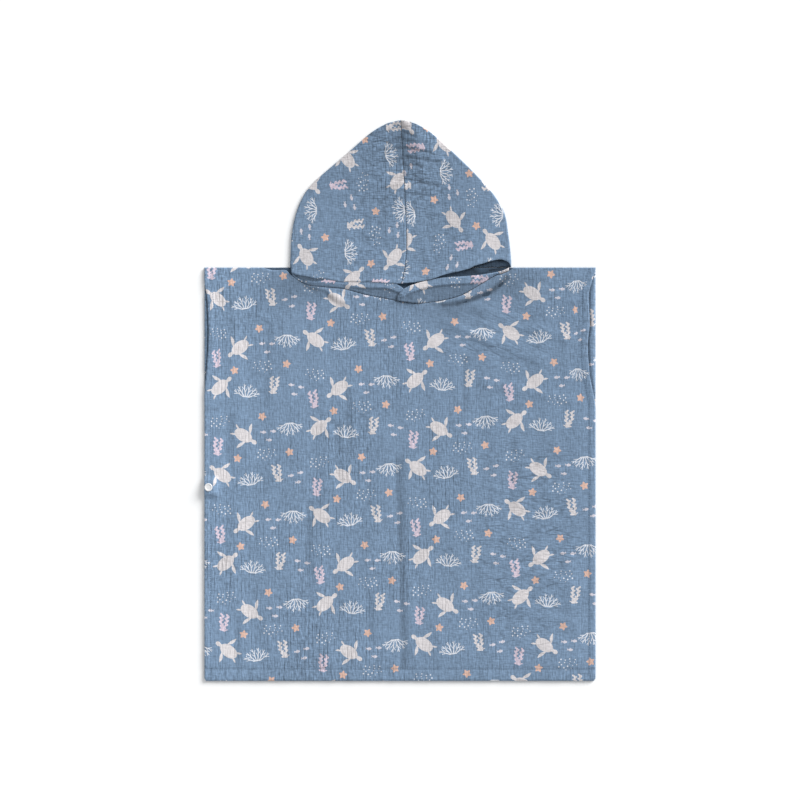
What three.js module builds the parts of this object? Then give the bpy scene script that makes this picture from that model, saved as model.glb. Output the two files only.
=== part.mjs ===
// A child's hooded bath poncho of crinkled double gauze, laid flat on its back.
// Millimetres, +Z up. The hem lies towards -Y and the hood's crown towards +Y.
// The origin is on the surface that it lies on, under the middle of the garment.

import * as THREE from 'three';

// Driving sizes of the garment
const BODY_WIDTH = 600;
const BODY_LENGTH = 634;
const HOOD_RISE = 226;
const CLOTH = 1.6;
const SEAM_GAP = 0.3;

// Hems: how wide they are turned and how much thicker the turned cloth is
const BOTTOM_HEM = 20;
const SIDE_HEM = 11;
const FACE_HEM = 12;
const HEM_EXTRA = 0.6;
const HEM_STEP = 1.2;
const CORNER_CUT = 2.5;
const CORNER_RISE = 4;

// Places worked out from the sizes
const HALF_WIDTH = BODY_WIDTH / 2;
const CROWN_Y = (BODY_LENGTH + HOOD_RISE) / 2;
const SHOULDER_Y = CROWN_Y - HOOD_RISE;
const HEM_Y = -CROWN_Y;
const SECOND_LAYER = CLOTH + SEAM_GAP;
const THIRD_LAYER = SECOND_LAYER + CLOTH + HEM_EXTRA + SEAM_GAP;

// Air between the layers
const FRONT_LOFT = 0.9;
const FRONT_LOFT_REACH = 45;
const HOOD_FOLD_GAP = 1.2;
const HOOD_LOFT = 1.2;
const MOUTH_GAP = 3.9;
const BRIM_REACH = 26;
const CHEEK_LIFT = 1.9;

// Press snap
const SNAP_X = -293.6;
const SNAP_Y = -133;
const SNAP_CAP_RADIUS = 6.2;
const SNAP_INNER_RADIUS = 5.2;
const SNAP_CAP_HEIGHT = 1.7;
const SNAP_BACK_CAP_HEIGHT = 1.2;
const SNAP_DISC_HEIGHT = 1;
const SNAP_FLAT = 9;
const SNAP_SLOPE = 18;
const SNAP_SIDES = 28;
const BACK_SNAP_LIFT = SNAP_BACK_CAP_HEIGHT + SEAM_GAP;
const FRONT_SNAP_LIFT = BACK_SNAP_LIFT + 2 * (SNAP_DISC_HEIGHT + SEAM_GAP);

// Where the front is joined to the hood: y of the seam at each x
const NECKLINE = [
  { x: -209, y: 204 },
  { x: -196, y: 200.5 },
  { x: -174, y: 200 },
  { x: -169, y: 195 },
  { x: -155, y: 184 },
  { x: -140, y: 177 },
  { x: -115, y: 174 },
  { x: -85, y: 171 },
  { x: -55, y: 163 },
  { x: -25, y: 157 },
  { x: 20, y: 149.5 },
  { x: 45, y: 150.5 },
  { x: 70, y: 154.5 },
  { x: 95, y: 162 },
  { x: 120, y: 176 },
  { x: 145, y: 191 },
  { x: 158, y: 195 },
  { x: 170, y: 201 },
  { x: 173, y: 204 },
];

// The face edge of the hood's upper layer
const BRIM = [
  { x: -169, y: 195 },
  { x: -155, y: 192 },
  { x: -140, y: 188.5 },
  { x: -115, y: 185.5 },
  { x: -85, y: 182 },
  { x: -25, y: 181 },
  { x: -5, y: 178.5 },
  { x: 20, y: 180.5 },
  { x: 45, y: 186 },
  { x: 70, y: 193.5 },
  { x: 95, y: 200 },
  { x: 120, y: 207 },
  { x: 145, y: 215.5 },
  { x: 158, y: 215.5 },
  { x: 170, y: 208 },
];

// The face edge of each cheek, from the corner of the hood to the crossing at the centre front
const LEFT_RIM = [
  { x: -165, y: 198 },
  { x: -140, y: 191.5 },
  { x: -115, y: 188.5 },
  { x: -85, y: 185 },
  { x: -25, y: 184 },
  { x: -8, y: 180 },
  { x: 4, y: 173 },
  { x: 12, y: 164 },
  { x: 18, y: 153.5 },
];
const RIGHT_RIM = [
  { x: -5, y: 159 },
  { x: 0, y: 166 },
  { x: 7, y: 172 },
  { x: 17, y: 177 },
  { x: 45, y: 185.5 },
  { x: 70, y: 189 },
  { x: 95, y: 190.5 },
  { x: 120, y: 192.5 },
  { x: 145, y: 196.5 },
  { x: 158, y: 199.5 },
  { x: 167, y: 203.8 },
];

// Half widths of the flattened hood on each side of the middle, from the neck to the crown
const HOOD_OUTLINE = [
  { y: 194, left: 169, right: 171 },
  { y: 222, left: 168, right: 170 },
  { y: 256, left: 166, right: 166 },
  { y: 288, left: 159, right: 160 },
  { y: 314, left: 148, right: 145 },
  { y: 334, left: 133, right: 128 },
  { y: 357, left: 107, right: 106 },
  { y: 380, left: 80, right: 82 },
  { y: 396, left: 62, right: 65 },
  { y: 414, left: 40, right: 43 },
  { y: 425, left: 20, right: 23 },
  { y: 430, left: 6, right: 7 },
];

// The seam that joins the two hood panels over the crown
const CROWN_SEAM = [
  { y: 179, x: 2 },
  { y: 209, x: 8 },
  { y: 245, x: 10 },
  { y: 299, x: 8 },
  { y: 359, x: 5 },
  { y: 430, x: 1 },
];

// How far the front's side edges are pulled in at the arm openings
const ARM_OPENING = [
  { y: -10, left: 0, right: 0 },
  { y: 9, left: 0, right: 3 },
  { y: 40, left: 2.5, right: 9 },
  { y: 86, left: 6, right: 12 },
  { y: 117, left: 6, right: 9 },
  { y: 160, left: 3.5, right: 10.5 },
  { y: 182, left: 0, right: 6 },
  { y: 200, left: 0, right: 0 },
];
const ARM_PULL_REACH = 40;
const ARM_EDGE_LIFT = 0.16;

// The largest folds of the front: soft ridges and troughs along straight stretches
const FRONT_FOLDS = [
  { x1: 76, y1: 150, x2: 113, y2: 161, half: 9, rise: 2.4 },
  { x1: 113, y1: 161, x2: 138, y2: 177, half: 12, rise: 4 },
  { x1: 138, y1: 177, x2: 160, y2: 191, half: 10, rise: 3.4 },
  { x1: -128, y1: 169, x2: -104, y2: 163, half: 8, rise: 1.6 },
  { x1: -104, y1: 163, x2: -84, y2: 150, half: 10, rise: 1.8 },
  { x1: 70, y1: 120, x2: 215, y2: 62, half: 15, rise: 0.9 },
  { x1: 118, y1: 142, x2: 262, y2: 92, half: 15, rise: 0.8 },
  { x1: 130, y1: 28, x2: 262, y2: 0, half: 14, rise: 0.7 },
  { x1: 150, y1: -248, x2: 275, y2: -286, half: 14, rise: 0.7 },
  { x1: 140, y1: -308, x2: 270, y2: -346, half: 14, rise: 0.6 },
  { x1: -3, y1: -95, x2: 6, y2: -408, half: 12, rise: -1.1 },
  { x1: 98, y1: 62, x2: 99, y2: -14, half: 11, rise: -0.9 },
  { x1: -96, y1: -40, x2: -94, y2: -126, half: 11, rise: -0.8 },
  { x1: -81, y1: 12, x2: -80, y2: -86, half: 11, rise: -0.7 },
  { x1: -261, y1: -28, x2: -264, y2: -92, half: 11, rise: -0.8 },
  { x1: -249, y1: -330, x2: -252, y2: -408, half: 11, rise: -0.8 },
  { x1: -48, y1: -296, x2: -46, y2: -366, half: 11, rise: -0.7 },
  { x1: -202, y1: 112, x2: -206, y2: -6, half: 12, rise: -0.7 },
  { x1: -140, y1: -160, x2: -142, y2: -262, half: 12, rise: -0.7 },
  { x1: 172, y1: -64, x2: 170, y2: -168, half: 12, rise: -0.7 },
];

// The largest folds of the hood's upper layer
const HOOD_FOLDS = [
  { x1: 22, y1: 400, x2: 40, y2: 330, half: 10, rise: 0.7 },
  { x1: -14, y1: 396, x2: -30, y2: 340, half: 10, rise: 0.5 },
  { x1: 60, y1: 350, x2: 70, y2: 250, half: 14, rise: -0.5 },
  { x1: -60, y1: 330, x2: -58, y2: 240, half: 14, rise: -0.5 },
  { x1: 30, y1: 262, x2: 44, y2: 214, half: 11, rise: 0.6 },
  { x1: 96, y1: 300, x2: 112, y2: 236, half: 13, rise: 0.5 },
];

// Gathers where the right cheek turns up to the mouth of the hood
const CHEEK_GATHERS = [
  { x1: 109, y1: 188, x2: 105, y2: 174, half: 5, rise: -1.4 },
  { x1: 122, y1: 190, x2: 119, y2: 180, half: 5, rise: -1.2 },
];

// Broad waves that the crinkle leaves in the front
const WAVES = [
  { length: 43, drift: 170, sway: 9, height: 0.22 },
  { length: 67, drift: 240, sway: 14, height: 0.16 },
];

// The value of a table's column at a place, on a smooth curve through its rows
function along(table, column, at, key = 'x') {
  const last = table.length - 1;
  let low = 0;
  while (low < last - 1 && at > table[low + 1][key]) {
    low += 1;
  }
  const slope = (row) => {
    const before = table[Math.max(row - 1, 0)];
    const after = table[Math.min(row + 1, last)];
    return (after[column] - before[column]) / (after[key] - before[key]);
  };
  const from = table[low];
  const to = table[low + 1];
  const span = to[key] - from[key];
  const t = THREE.MathUtils.clamp((at - from[key]) / span, 0, 1);
  const leave = slope(low) * span;
  const arrive = slope(low + 1) * span;
  const rise = to[column] - from[column];
  const bend = t * (1 - t) * ((1 - t) * (leave - rise) - t * (arrive - rise));
  return from[column] + t * rise + bend;
}

// 1 up to the near distance, 0 past the far one, straight between them
function fade(distance, near, far) {
  return THREE.MathUtils.clamp((far - distance) / (far - near), 0, 1);
}

// The height of a table of folds over a point: a rounded profile across each straight stretch
function foldHeight(folds, x, y) {
  let ridge = 0;
  let trough = 0;
  for (const fold of folds) {
    const dx = fold.x2 - fold.x1;
    const dy = fold.y2 - fold.y1;
    const run = THREE.MathUtils.clamp(((x - fold.x1) * dx + (y - fold.y1) * dy) / (dx * dx + dy * dy), 0, 1);
    const away = Math.hypot(x - fold.x1 - run * dx, y - fold.y1 - run * dy);
    const height = fold.rise * (0.5 + 0.5 * Math.cos(Math.PI * Math.min(away / fold.half, 1)));
    ridge = Math.max(ridge, height);
    trough = Math.min(trough, height);
  }
  return ridge + trough;
}

function waveHeight(x, y) {
  let height = 0;
  for (const wave of WAVES) {
    const swayed = x + wave.sway * Math.sin(y / wave.drift * Math.PI);
    height += wave.height * (1 + Math.sin(swayed / wave.length * 2 * Math.PI));
  }
  return height;
}

// The cloth rises over the snap on a square flat with straight slopes around it: 1 on the flat
function overSnap(x, y) {
  const across = fade(Math.abs(x - SNAP_X), SNAP_FLAT, SNAP_SLOPE);
  return across * fade(Math.abs(y - SNAP_Y), SNAP_FLAT, SNAP_SLOPE);
}

// Extra thickness of the turned hems at the sides and the bottom of the body
function bodyHem(edgeDistance, y) {
  const side = fade(edgeDistance, SIDE_HEM - HEM_STEP, SIDE_HEM);
  const bottom = fade(y - HEM_Y, BOTTOM_HEM - HEM_STEP, BOTTOM_HEM);
  return HEM_EXTRA * Math.max(side, bottom);
}

function counted(count) {
  return [...Array(count).keys()];
}

// A closed wall between two grids of points that have the same rows and columns
function wall(outer, inner) {
  const rows = outer.length;
  const columns = outer[0].length;
  const grid = [...outer.flat(), ...inner.flat()];
  const under = rows * columns;
  const at = (row, column) => row * columns + column;
  const index = [];
  const quad = (a, b, c, d) => index.push(a, b, c, a, c, d);
  for (let row = 0; row < rows - 1; row += 1) {
    for (let column = 0; column < columns - 1; column += 1) {
      const a = at(row, column);
      const b = at(row + 1, column);
      const c = at(row + 1, column + 1);
      const d = at(row, column + 1);
      quad(a, b, c, d);
      quad(under + a, under + d, under + c, under + b);
    }
  }
  const border = [
    ...counted(columns - 1).map((column) => at(0, column)),
    ...counted(rows - 1).map((row) => at(row, columns - 1)),
    ...counted(columns - 1).map((column) => at(rows - 1, columns - 1 - column)),
    ...counted(rows - 1).map((row) => at(rows - 1 - row, 0)),
  ];
  border.forEach((here, place) => {
    const next = border[(place + 1) % border.length];
    quad(here, next, under + next, under + here);
  });
  if (signedVolume(grid, index) < 0) {
    index.reverse();
  }
  const geometry = new THREE.BufferGeometry().setFromPoints(grid);
  geometry.setIndex(index);
  geometry.computeVertexNormals();
  return geometry;
}

function signedVolume(points, index) {
  let volume = 0;
  const cross = new THREE.Vector3();
  for (let corner = 0; corner < index.length; corner += 3) {
    cross.crossVectors(points[index[corner + 1]], points[index[corner + 2]]);
    volume += points[index[corner]].dot(cross) / 6;
  }
  return volume;
}

// A wall that lies level: shape gives x and y, and the height and thickness of the cloth there
function layer(rowCount, columnCount, shape) {
  const top = [];
  const bottom = [];
  for (let row = 0; row < rowCount; row += 1) {
    top.push([]);
    bottom.push([]);
    for (let column = 0; column < columnCount; column += 1) {
      const { x, y, base, thick } = shape(row, column);
      top[row].push(new THREE.Vector3(x, y, base + thick));
      bottom[row].push(new THREE.Vector3(x, y, base));
    }
  }
  return wall(top, bottom);
}

// Places from one end to the other at about one pitch, with chosen places kept exactly
function stations(from, to, pitch, kept) {
  const between = kept.filter((mark) => mark > from && mark < to).sort((a, b) => a - b);
  const marks = [from, ...between, to];
  const places = [from];
  for (let mark = 1; mark < marks.length; mark += 1) {
    const steps = Math.max(1, Math.round((marks[mark] - marks[mark - 1]) / pitch));
    for (let step = 1; step <= steps; step += 1) {
      places.push(THREE.MathUtils.lerp(marks[mark - 1], marks[mark], step / steps));
    }
  }
  return places;
}

// How far a body corner is cut back at a height above the hem
function cornerInset(y) {
  return CORNER_CUT * fade(y - HEM_Y, 0, CORNER_RISE);
}

const SNAP_ROWS = [SNAP_Y - SNAP_SLOPE, SNAP_Y - SNAP_FLAT, SNAP_Y + SNAP_FLAT, SNAP_Y + SNAP_SLOPE];
const HEM_ROWS = [HEM_Y + CORNER_RISE, HEM_Y + BOTTOM_HEM - HEM_STEP, HEM_Y + BOTTOM_HEM];
const HEM_LINE = HALF_WIDTH - SIDE_HEM;
const HEM_COLUMNS = [-HEM_LINE, -HEM_LINE + HEM_STEP, HEM_LINE - HEM_STEP, HEM_LINE];

// The columns of the front, which the cheeks share along the neck seam
const FRONT_PITCH = 10.5;
const CHEEK_ENDS = [LEFT_RIM, RIGHT_RIM].flatMap((rim) => [rim[0].x, rim[rim.length - 1].x]);
const NECK_ENDS = [NECKLINE[0].x, NECKLINE[2].x, NECKLINE[3].x, NECKLINE[NECKLINE.length - 1].x];
const FRONT_COLUMNS = stations(-HALF_WIDTH, HALF_WIDTH, FRONT_PITCH, [
  ...HEM_COLUMNS, SNAP_X + SNAP_SLOPE, ...NECK_ENDS, ...CHEEK_ENDS,
]);

// The back: a plain rectangle, flat where it rests
function bodyBack() {
  const columns = stations(-HALF_WIDTH, HALF_WIDTH, 75, [
    SNAP_X + SNAP_FLAT, SNAP_X + SNAP_SLOPE, HALF_WIDTH - CORNER_CUT, CORNER_CUT - HALF_WIDTH,
  ]);
  const rows = stations(HEM_Y, SHOULDER_Y, 90, [...HEM_ROWS, ...SNAP_ROWS]).reverse();
  return layer(rows.length, columns.length, (row, column) => {
    const y = rows[row];
    const edge = HALF_WIDTH - cornerInset(y);
    const x = THREE.MathUtils.clamp(columns[column], -edge, edge);
    return { x, y, base: BACK_SNAP_LIFT * overSnap(x, y), thick: CLOTH };
  });
}

// Rows of the front: crowded towards the neckline, then level ones down to the hem
const NECK_ROWS = 9;
const NECK_CROWDING = 1.7;
const NECK_BOTTOM_Y = 108;
const LEVEL_ROWS = stations(HEM_Y, NECK_BOTTOM_Y, 40, [...HEM_ROWS, ...SNAP_ROWS]).reverse();

function frontTop(x) {
  const inNeck = x >= NECKLINE[0].x && x <= NECKLINE[NECKLINE.length - 1].x;
  return inNeck ? along(NECKLINE, 'y', x) - SEAM_GAP : SHOULDER_Y;
}

function frontRow(row, top) {
  if (row >= NECK_ROWS) {
    return LEVEL_ROWS[row - NECK_ROWS];
  }
  return THREE.MathUtils.lerp(top, NECK_BOTTOM_Y, (row / NECK_ROWS) ** NECK_CROWDING);
}

// The front: scooped at the neck, pulled in at the arm openings, with its folds
function bodyFront() {
  return layer(NECK_ROWS + LEVEL_ROWS.length, FRONT_COLUMNS.length, (row, column) => {
    const flatX = FRONT_COLUMNS[column];
    const top = frontTop(flatX);
    const y = frontRow(row, top);
    const edgeDistance = HALF_WIDTH - Math.abs(flatX);
    const armPull = along(ARM_OPENING, flatX < 0 ? 'left' : 'right', y, 'y');
    const pull = armPull * fade(edgeDistance, SIDE_HEM, ARM_PULL_REACH);
    const edge = HALF_WIDTH - cornerInset(y);
    const x = THREE.MathUtils.clamp(flatX - Math.sign(flatX) * pull, -edge, edge);
    const fromEdge = Math.min(edgeDistance, y - HEM_Y, Math.max(top - y, 0));
    const inside = 1 - fade(fromEdge, 0, FRONT_LOFT_REACH);
    const air = Math.max(inside * (FRONT_LOFT + waveHeight(x, y)) + foldHeight(FRONT_FOLDS, x, y), 0);
    const armLift = ARM_EDGE_LIFT * pull * fade(edgeDistance, 0, ARM_PULL_REACH);
    const snap = overSnap(flatX, y);
    const base = SECOND_LAYER + THREE.MathUtils.lerp(air + armLift, FRONT_SNAP_LIFT, snap);
    return { x, y, base, thick: CLOTH + bodyHem(edgeDistance, y) };
  });
}

// Steps round a hood side, from the crown seam over the upper layer and its fold to the seam below
const UPPER_STEPS = 13;
const TURN_STEPS = 4;
const UNDER_STEPS = 5;
const HOOD_ROWS = 19;
const CROWN_CROWDING = 1.25;
const UNDER_END_Y = SHOULDER_Y + SEAM_GAP;

function crownSeamX(side, y) {
  return along(CROWN_SEAM, 'x', y, 'y') + side * SEAM_GAP / 2;
}

function outlineX(side, y) {
  return side * along(HOOD_OUTLINE, side < 0 ? 'left' : 'right', y, 'y');
}

// The air between the hood's two layers: least at the seam and the fold, more at the face opening
function hoodGap(side, x, y, across) {
  const nearBrim = fade(y - along(BRIM, 'y', x), 0, BRIM_REACH) ** 2;
  const mouth = side > 0 ? MOUTH_GAP : THIRD_LAYER - CLOTH;
  const loft = HOOD_LOFT * Math.sin(Math.PI * across) + foldHeight(HOOD_FOLDS, x, y);
  return THREE.MathUtils.lerp(Math.max(HOOD_FOLD_GAP + loft, SEAM_GAP), mouth, nearBrim);
}

// A hood side: its upper layer, the fold at the outline, and its under layer
function hoodSide(side) {
  const outer = [];
  const inner = [];
  const crownY = HOOD_OUTLINE[HOOD_OUTLINE.length - 1].y;
  for (let row = 0; row < HOOD_ROWS; row += 1) {
    outer.push([]);
    inner.push([]);
    const down = (row / (HOOD_ROWS - 1)) ** CROWN_CROWDING;
    for (let column = 0; column <= UPPER_STEPS + TURN_STEPS + UNDER_STEPS; column += 1) {
      const across = Math.min(column / UPPER_STEPS, 1);
      const turn = THREE.MathUtils.clamp((column - UPPER_STEPS) / TURN_STEPS, 0, 1);
      const back = Math.max(column - UPPER_STEPS - TURN_STEPS, 0) / UNDER_STEPS;
      const endX = THREE.MathUtils.lerp(crownSeamX(side, SHOULDER_Y), outlineX(side, SHOULDER_Y), across);
      const endY = THREE.MathUtils.lerp(along(BRIM, 'y', endX), UNDER_END_Y, Math.min(turn * 2, 1));
      const y = THREE.MathUtils.lerp(crownY, endY, down);
      const edgeGap = hoodGap(side, outlineX(side, y), y, 1);
      const turnX = outlineX(side, y) - side * (CLOTH + edgeGap / 2);
      if (turn === 0) {
        const x = THREE.MathUtils.lerp(crownSeamX(side, y), turnX, across);
        const gap = THREE.MathUtils.lerp(hoodGap(side, x, y, across), edgeGap, across ** 4);
        outer[row].push(new THREE.Vector3(x, y, 2 * CLOTH + gap));
        inner[row].push(new THREE.Vector3(x, y, CLOTH + gap));
      } else if (back === 0) {
        const reach = side * Math.sin(turn * Math.PI);
        const climb = Math.cos(turn * Math.PI);
        const place = (radius) => new THREE.Vector3(
          turnX + reach * radius, y, CLOTH + edgeGap / 2 + climb * radius,
        );
        outer[row].push(place(edgeGap / 2 + CLOTH));
        inner[row].push(place(edgeGap / 2));
      } else {
        const x = THREE.MathUtils.lerp(turnX, crownSeamX(side, y), back);
        outer[row].push(new THREE.Vector3(x, y, 0));
        inner[row].push(new THREE.Vector3(x, y, CLOTH));
      }
    }
  }
  return wall(outer, inner);
}

// A cheek: the stretch of a hood panel between the face opening and the front's neckline
const CHEEK_HEM_SHARE = 0.6;
const CHEEK_STEP_SHARE = 0.1;

function cheek(rim, baseAt) {
  const columns = FRONT_COLUMNS.filter((x) => x >= rim[0].x && x <= rim[rim.length - 1].x);
  const rowCount = 5;
  return layer(rowCount, columns.length, (row, column) => {
    const x = columns[column];
    const top = along(rim, 'y', x);
    const height = top - along(NECKLINE, 'y', x);
    const hem = Math.min(FACE_HEM, height * CHEEK_HEM_SHARE);
    const step = Math.min(HEM_STEP, height * CHEEK_STEP_SHARE);
    const below = [0, hem, hem + step, (hem + step + height) / 2, height][row];
    const y = top - below;
    return { x, y, base: baseAt(x, y, below / height), thick: CLOTH + (row < 2 ? HEM_EXTRA : 0) };
  });
}

function leftCheek() {
  return cheek(LEFT_RIM, () => SECOND_LAYER);
}

// The right cheek climbs over the end of the left one, and its rim stands up at the mouth
function rightCheek() {
  const crossing = 18;
  const settled = 48;
  const mouthStart = 60;
  const mouthFull = 110;
  return cheek(RIGHT_RIM, (x, y, down) => {
    const over = (THIRD_LAYER - SECOND_LAYER) * fade(x, crossing, settled);
    const lift = CHEEK_LIFT * (1 - fade(x, mouthStart, mouthFull)) * (1 - down);
    const gather = foldHeight(CHEEK_GATHERS, x, y);
    return SECOND_LAYER + over + Math.max(lift + gather, 0);
  });
}

// A round snap piece: profile radii and heights turned about its axis
function turned(profile) {
  const points = profile.map(([radius, height]) => new THREE.Vector2(radius, height));
  return new THREE.LatheGeometry(points, SNAP_SIDES).rotateX(Math.PI / 2);
}

function snapCap(height, up) {
  const radius = SNAP_CAP_RADIUS;
  const dish = 0.72 * height;
  const face = [[0, 0], [radius, 0], [radius, 0.55 * height], [0.9 * radius, height]];
  const middle = [[0.66 * radius, height], [0.58 * radius, dish], [0, dish]];
  const cap = turned([...face, ...middle]);
  return up ? cap : cap.rotateX(Math.PI).translate(0, 0, height);
}

function snapDisc() {
  const radius = SNAP_INNER_RADIUS;
  return turned([[0, 0], [radius, 0], [radius, SNAP_DISC_HEIGHT], [0, SNAP_DISC_HEIGHT]]);
}

const poncho = new THREE.Group();

function add(name, geometry, look, x = 0, y = 0, z = 0) {
  const mesh = new THREE.Mesh(geometry, new THREE.MeshStandardMaterial(look));
  mesh.name = name;
  mesh.position.set(x, y, z);
  poncho.add(mesh);
}

const FRONT_LOOK = { color: 0x7891ab, roughness: 0.95, metalness: 0 };
const BACK_LOOK = { color: 0x6f88a3, roughness: 0.95, metalness: 0 };
const HOOD_LOOK = { color: 0x748da8, roughness: 0.95, metalness: 0 };
const CHEEK_LOOK = { color: 0x6a829d, roughness: 0.95, metalness: 0 };
const SNAP_LOOK = { color: 0xeceae6, roughness: 0.35, metalness: 0 };

add('body_back', bodyBack(), BACK_LOOK);
add('body_front', bodyFront(), FRONT_LOOK);
add('hood_left', hoodSide(-1), HOOD_LOOK);
add('hood_right', hoodSide(1), HOOD_LOOK);
add('hood_left_cheek', leftCheek(), CHEEK_LOOK);
add('hood_right_cheek', rightCheek(), CHEEK_LOOK);

// The snap, from the surface upwards
const STUD_Z = BACK_SNAP_LIFT + CLOTH + SEAM_GAP;
const SOCKET_Z = STUD_Z + SNAP_DISC_HEIGHT + SEAM_GAP;
const CAP_Z = SECOND_LAYER + FRONT_SNAP_LIFT + CLOTH + HEM_EXTRA + SEAM_GAP;
add('snap_back_cap', snapCap(SNAP_BACK_CAP_HEIGHT, false), SNAP_LOOK, SNAP_X, SNAP_Y, 0);
add('snap_stud', snapDisc(), SNAP_LOOK, SNAP_X, SNAP_Y, STUD_Z);
add('snap_socket', snapDisc(), SNAP_LOOK, SNAP_X, SNAP_Y, SOCKET_Z);
add('snap_front_cap', snapCap(SNAP_CAP_HEIGHT, true), SNAP_LOOK, SNAP_X, SNAP_Y, CAP_Z);

export default poncho;
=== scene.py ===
"""Looks of a child's hooded bath poncho of crinkled double gauze, laid flat on its back."""

import math

import bpy
import numpy as np
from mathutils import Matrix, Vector
from mathutils.geometry import delaunay_2d_cdt


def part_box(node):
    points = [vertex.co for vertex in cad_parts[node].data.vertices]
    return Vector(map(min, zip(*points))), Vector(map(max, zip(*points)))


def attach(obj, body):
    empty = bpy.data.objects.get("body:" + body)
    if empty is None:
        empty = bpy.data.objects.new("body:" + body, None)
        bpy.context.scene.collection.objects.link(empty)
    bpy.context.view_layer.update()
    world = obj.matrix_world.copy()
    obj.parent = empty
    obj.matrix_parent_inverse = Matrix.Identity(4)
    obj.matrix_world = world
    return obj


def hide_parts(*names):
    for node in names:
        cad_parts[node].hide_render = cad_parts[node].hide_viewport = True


bl_info = {
    "name": "Hooded Bath Poncho",
    "version": (1, 0, 0),
    "blender": (4, 5, 0),
    "location": "View3D > Sidebar > Poncho",
    "description": "Printed double gauze poncho with hems, stitching and a press snap",
    "category": "Add Mesh",
}

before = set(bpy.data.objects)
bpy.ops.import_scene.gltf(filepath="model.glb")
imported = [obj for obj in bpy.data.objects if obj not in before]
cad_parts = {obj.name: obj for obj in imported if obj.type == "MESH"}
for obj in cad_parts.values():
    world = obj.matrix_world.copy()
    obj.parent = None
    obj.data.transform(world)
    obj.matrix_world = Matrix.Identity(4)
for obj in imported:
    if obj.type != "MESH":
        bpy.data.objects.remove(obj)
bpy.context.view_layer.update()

# Shapes are worked out in millimetres and turned to metres when a mesh is made.
MM = 0.001

# Driving sizes, the same as in the part's source
HALF_WIDTH = 300.0
CROWN_Y = 430.0
SHOULDER_Y = 204.0
HEM_Y = -430.0
CLOTH = 1.6
SEAM_GAP = 0.3
BOTTOM_HEM = 20.0
SIDE_HEM = 11.0
FACE_HEM = 12.0
HEM_EXTRA = 0.6
HEM_STEP = 1.2
SECOND_LAYER = CLOTH + SEAM_GAP
THIRD_LAYER = SECOND_LAYER + CLOTH + HEM_EXTRA + SEAM_GAP
FRONT_LOFT = 0.9
FRONT_LOFT_REACH = 45.0
HOOD_FOLD_GAP = 1.2
HOOD_LOFT = 1.2
MOUTH_GAP = 3.9
BRIM_REACH = 26.0
CHEEK_LIFT = 1.9
ARM_PULL_REACH = 40.0
ARM_EDGE_LIFT = 0.16
SNAP_X = -293.6
SNAP_Y = -133.0
SNAP_FLAT = 9.0
SNAP_SLOPE = 18.0
BACK_SNAP_LIFT = 1.5
FRONT_SNAP_LIFT = 4.1
CHEEK_CROSSING = 8.0
BOTTOM_STITCH_IN = 1.5
SIDE_STITCH_IN = 1.4

# Neck seam of the front: x, y
NECKLINE = [
    (-209, 204), (-196, 200.5), (-174, 200), (-169, 195), (-155, 184), (-140, 177), (-115, 174),
    (-85, 171), (-55, 163), (-25, 157), (20, 149.5), (45, 150.5), (70, 154.5), (95, 162),
    (120, 176), (145, 191), (158, 195), (170, 201), (173, 204),
]

# Face edge of the hood's upper layer: x, y
BRIM = [
    (-169, 195), (-155, 192), (-140, 188.5), (-115, 185.5), (-85, 182), (-25, 181), (-5, 178.5),
    (20, 180.5), (45, 186), (70, 193.5), (95, 200), (120, 207), (145, 215.5), (158, 215.5), (170, 208),
]

# Face edge of each cheek: x, y
LEFT_RIM = [
    (-165, 198), (-140, 191.5), (-115, 188.5), (-85, 185), (-25, 184), (-8, 180), (4, 173),
    (12, 164), (18, 153.5),
]
RIGHT_RIM = [
    (-5, 159), (0, 166), (7, 172), (17, 177), (45, 185.5), (70, 189), (95, 190.5), (120, 192.5),
    (145, 196.5), (158, 199.5), (167, 203.8),
]

# Half widths of the flattened hood: y, left, right
HOOD_OUTLINE = [
    (194, 169, 171), (222, 168, 170), (256, 166, 166), (288, 159, 160), (314, 148, 145),
    (334, 133, 128), (357, 107, 106), (380, 80, 82), (396, 62, 65), (414, 40, 43), (425, 20, 23),
    (430, 6, 7),
]

# Seam over the crown: y, x
CROWN_SEAM = [(179, 2), (209, 8), (245, 10), (299, 8), (359, 5), (430, 1)]

# How far the front is pulled in at the arm openings: y, left, right
ARM_OPENING = [
    (-10, 0, 0), (9, 0, 3), (40, 2.5, 9), (86, 6, 12), (117, 6, 9), (160, 3.5, 10.5), (182, 0, 6),
    (200, 0, 0),
]

# Folds of the front: x1, y1, x2, y2, half width, rise
FRONT_FOLDS = [
    (-128, 169, -104, 163, 8, 1.6), (-104, 163, -84, 150, 10, 1.8), (70, 120, 215, 62, 15, 0.9),
    (118, 142, 262, 92, 15, 0.8), (130, 28, 262, 0, 14, 0.7), (150, -248, 275, -286, 14, 0.7),
    (140, -308, 270, -346, 14, 0.6), (-3, -95, 6, -408, 12, -1.1), (98, 62, 99, -14, 11, -0.9),
    (-96, -40, -94, -126, 11, -0.8), (-81, 12, -80, -86, 11, -0.7), (-261, -28, -264, -92, 11, -0.8),
    (-249, -330, -252, -408, 11, -0.8), (-48, -296, -46, -366, 11, -0.7),
    (-202, 112, -206, -6, 12, -0.7), (-140, -160, -142, -262, 12, -0.7), (172, -64, 170, -168, 12, -0.7),
]

# Folds of the hood's upper layer, and the gathers of the right cheek, in the same columns
HOOD_FOLDS = [
    (22, 400, 40, 330, 10, 0.7), (-14, 396, -30, 340, 10, 0.5), (60, 350, 70, 250, 14, -0.5),
    (-60, 330, -58, 240, 14, -0.5), (30, 262, 44, 214, 11, 0.6), (96, 300, 112, 236, 13, 0.5),
]
CHEEK_GATHERS = [(109, 188, 105, 174, 5, -1.4), (122, 190, 119, 180, 5, -1.2)]

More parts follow.
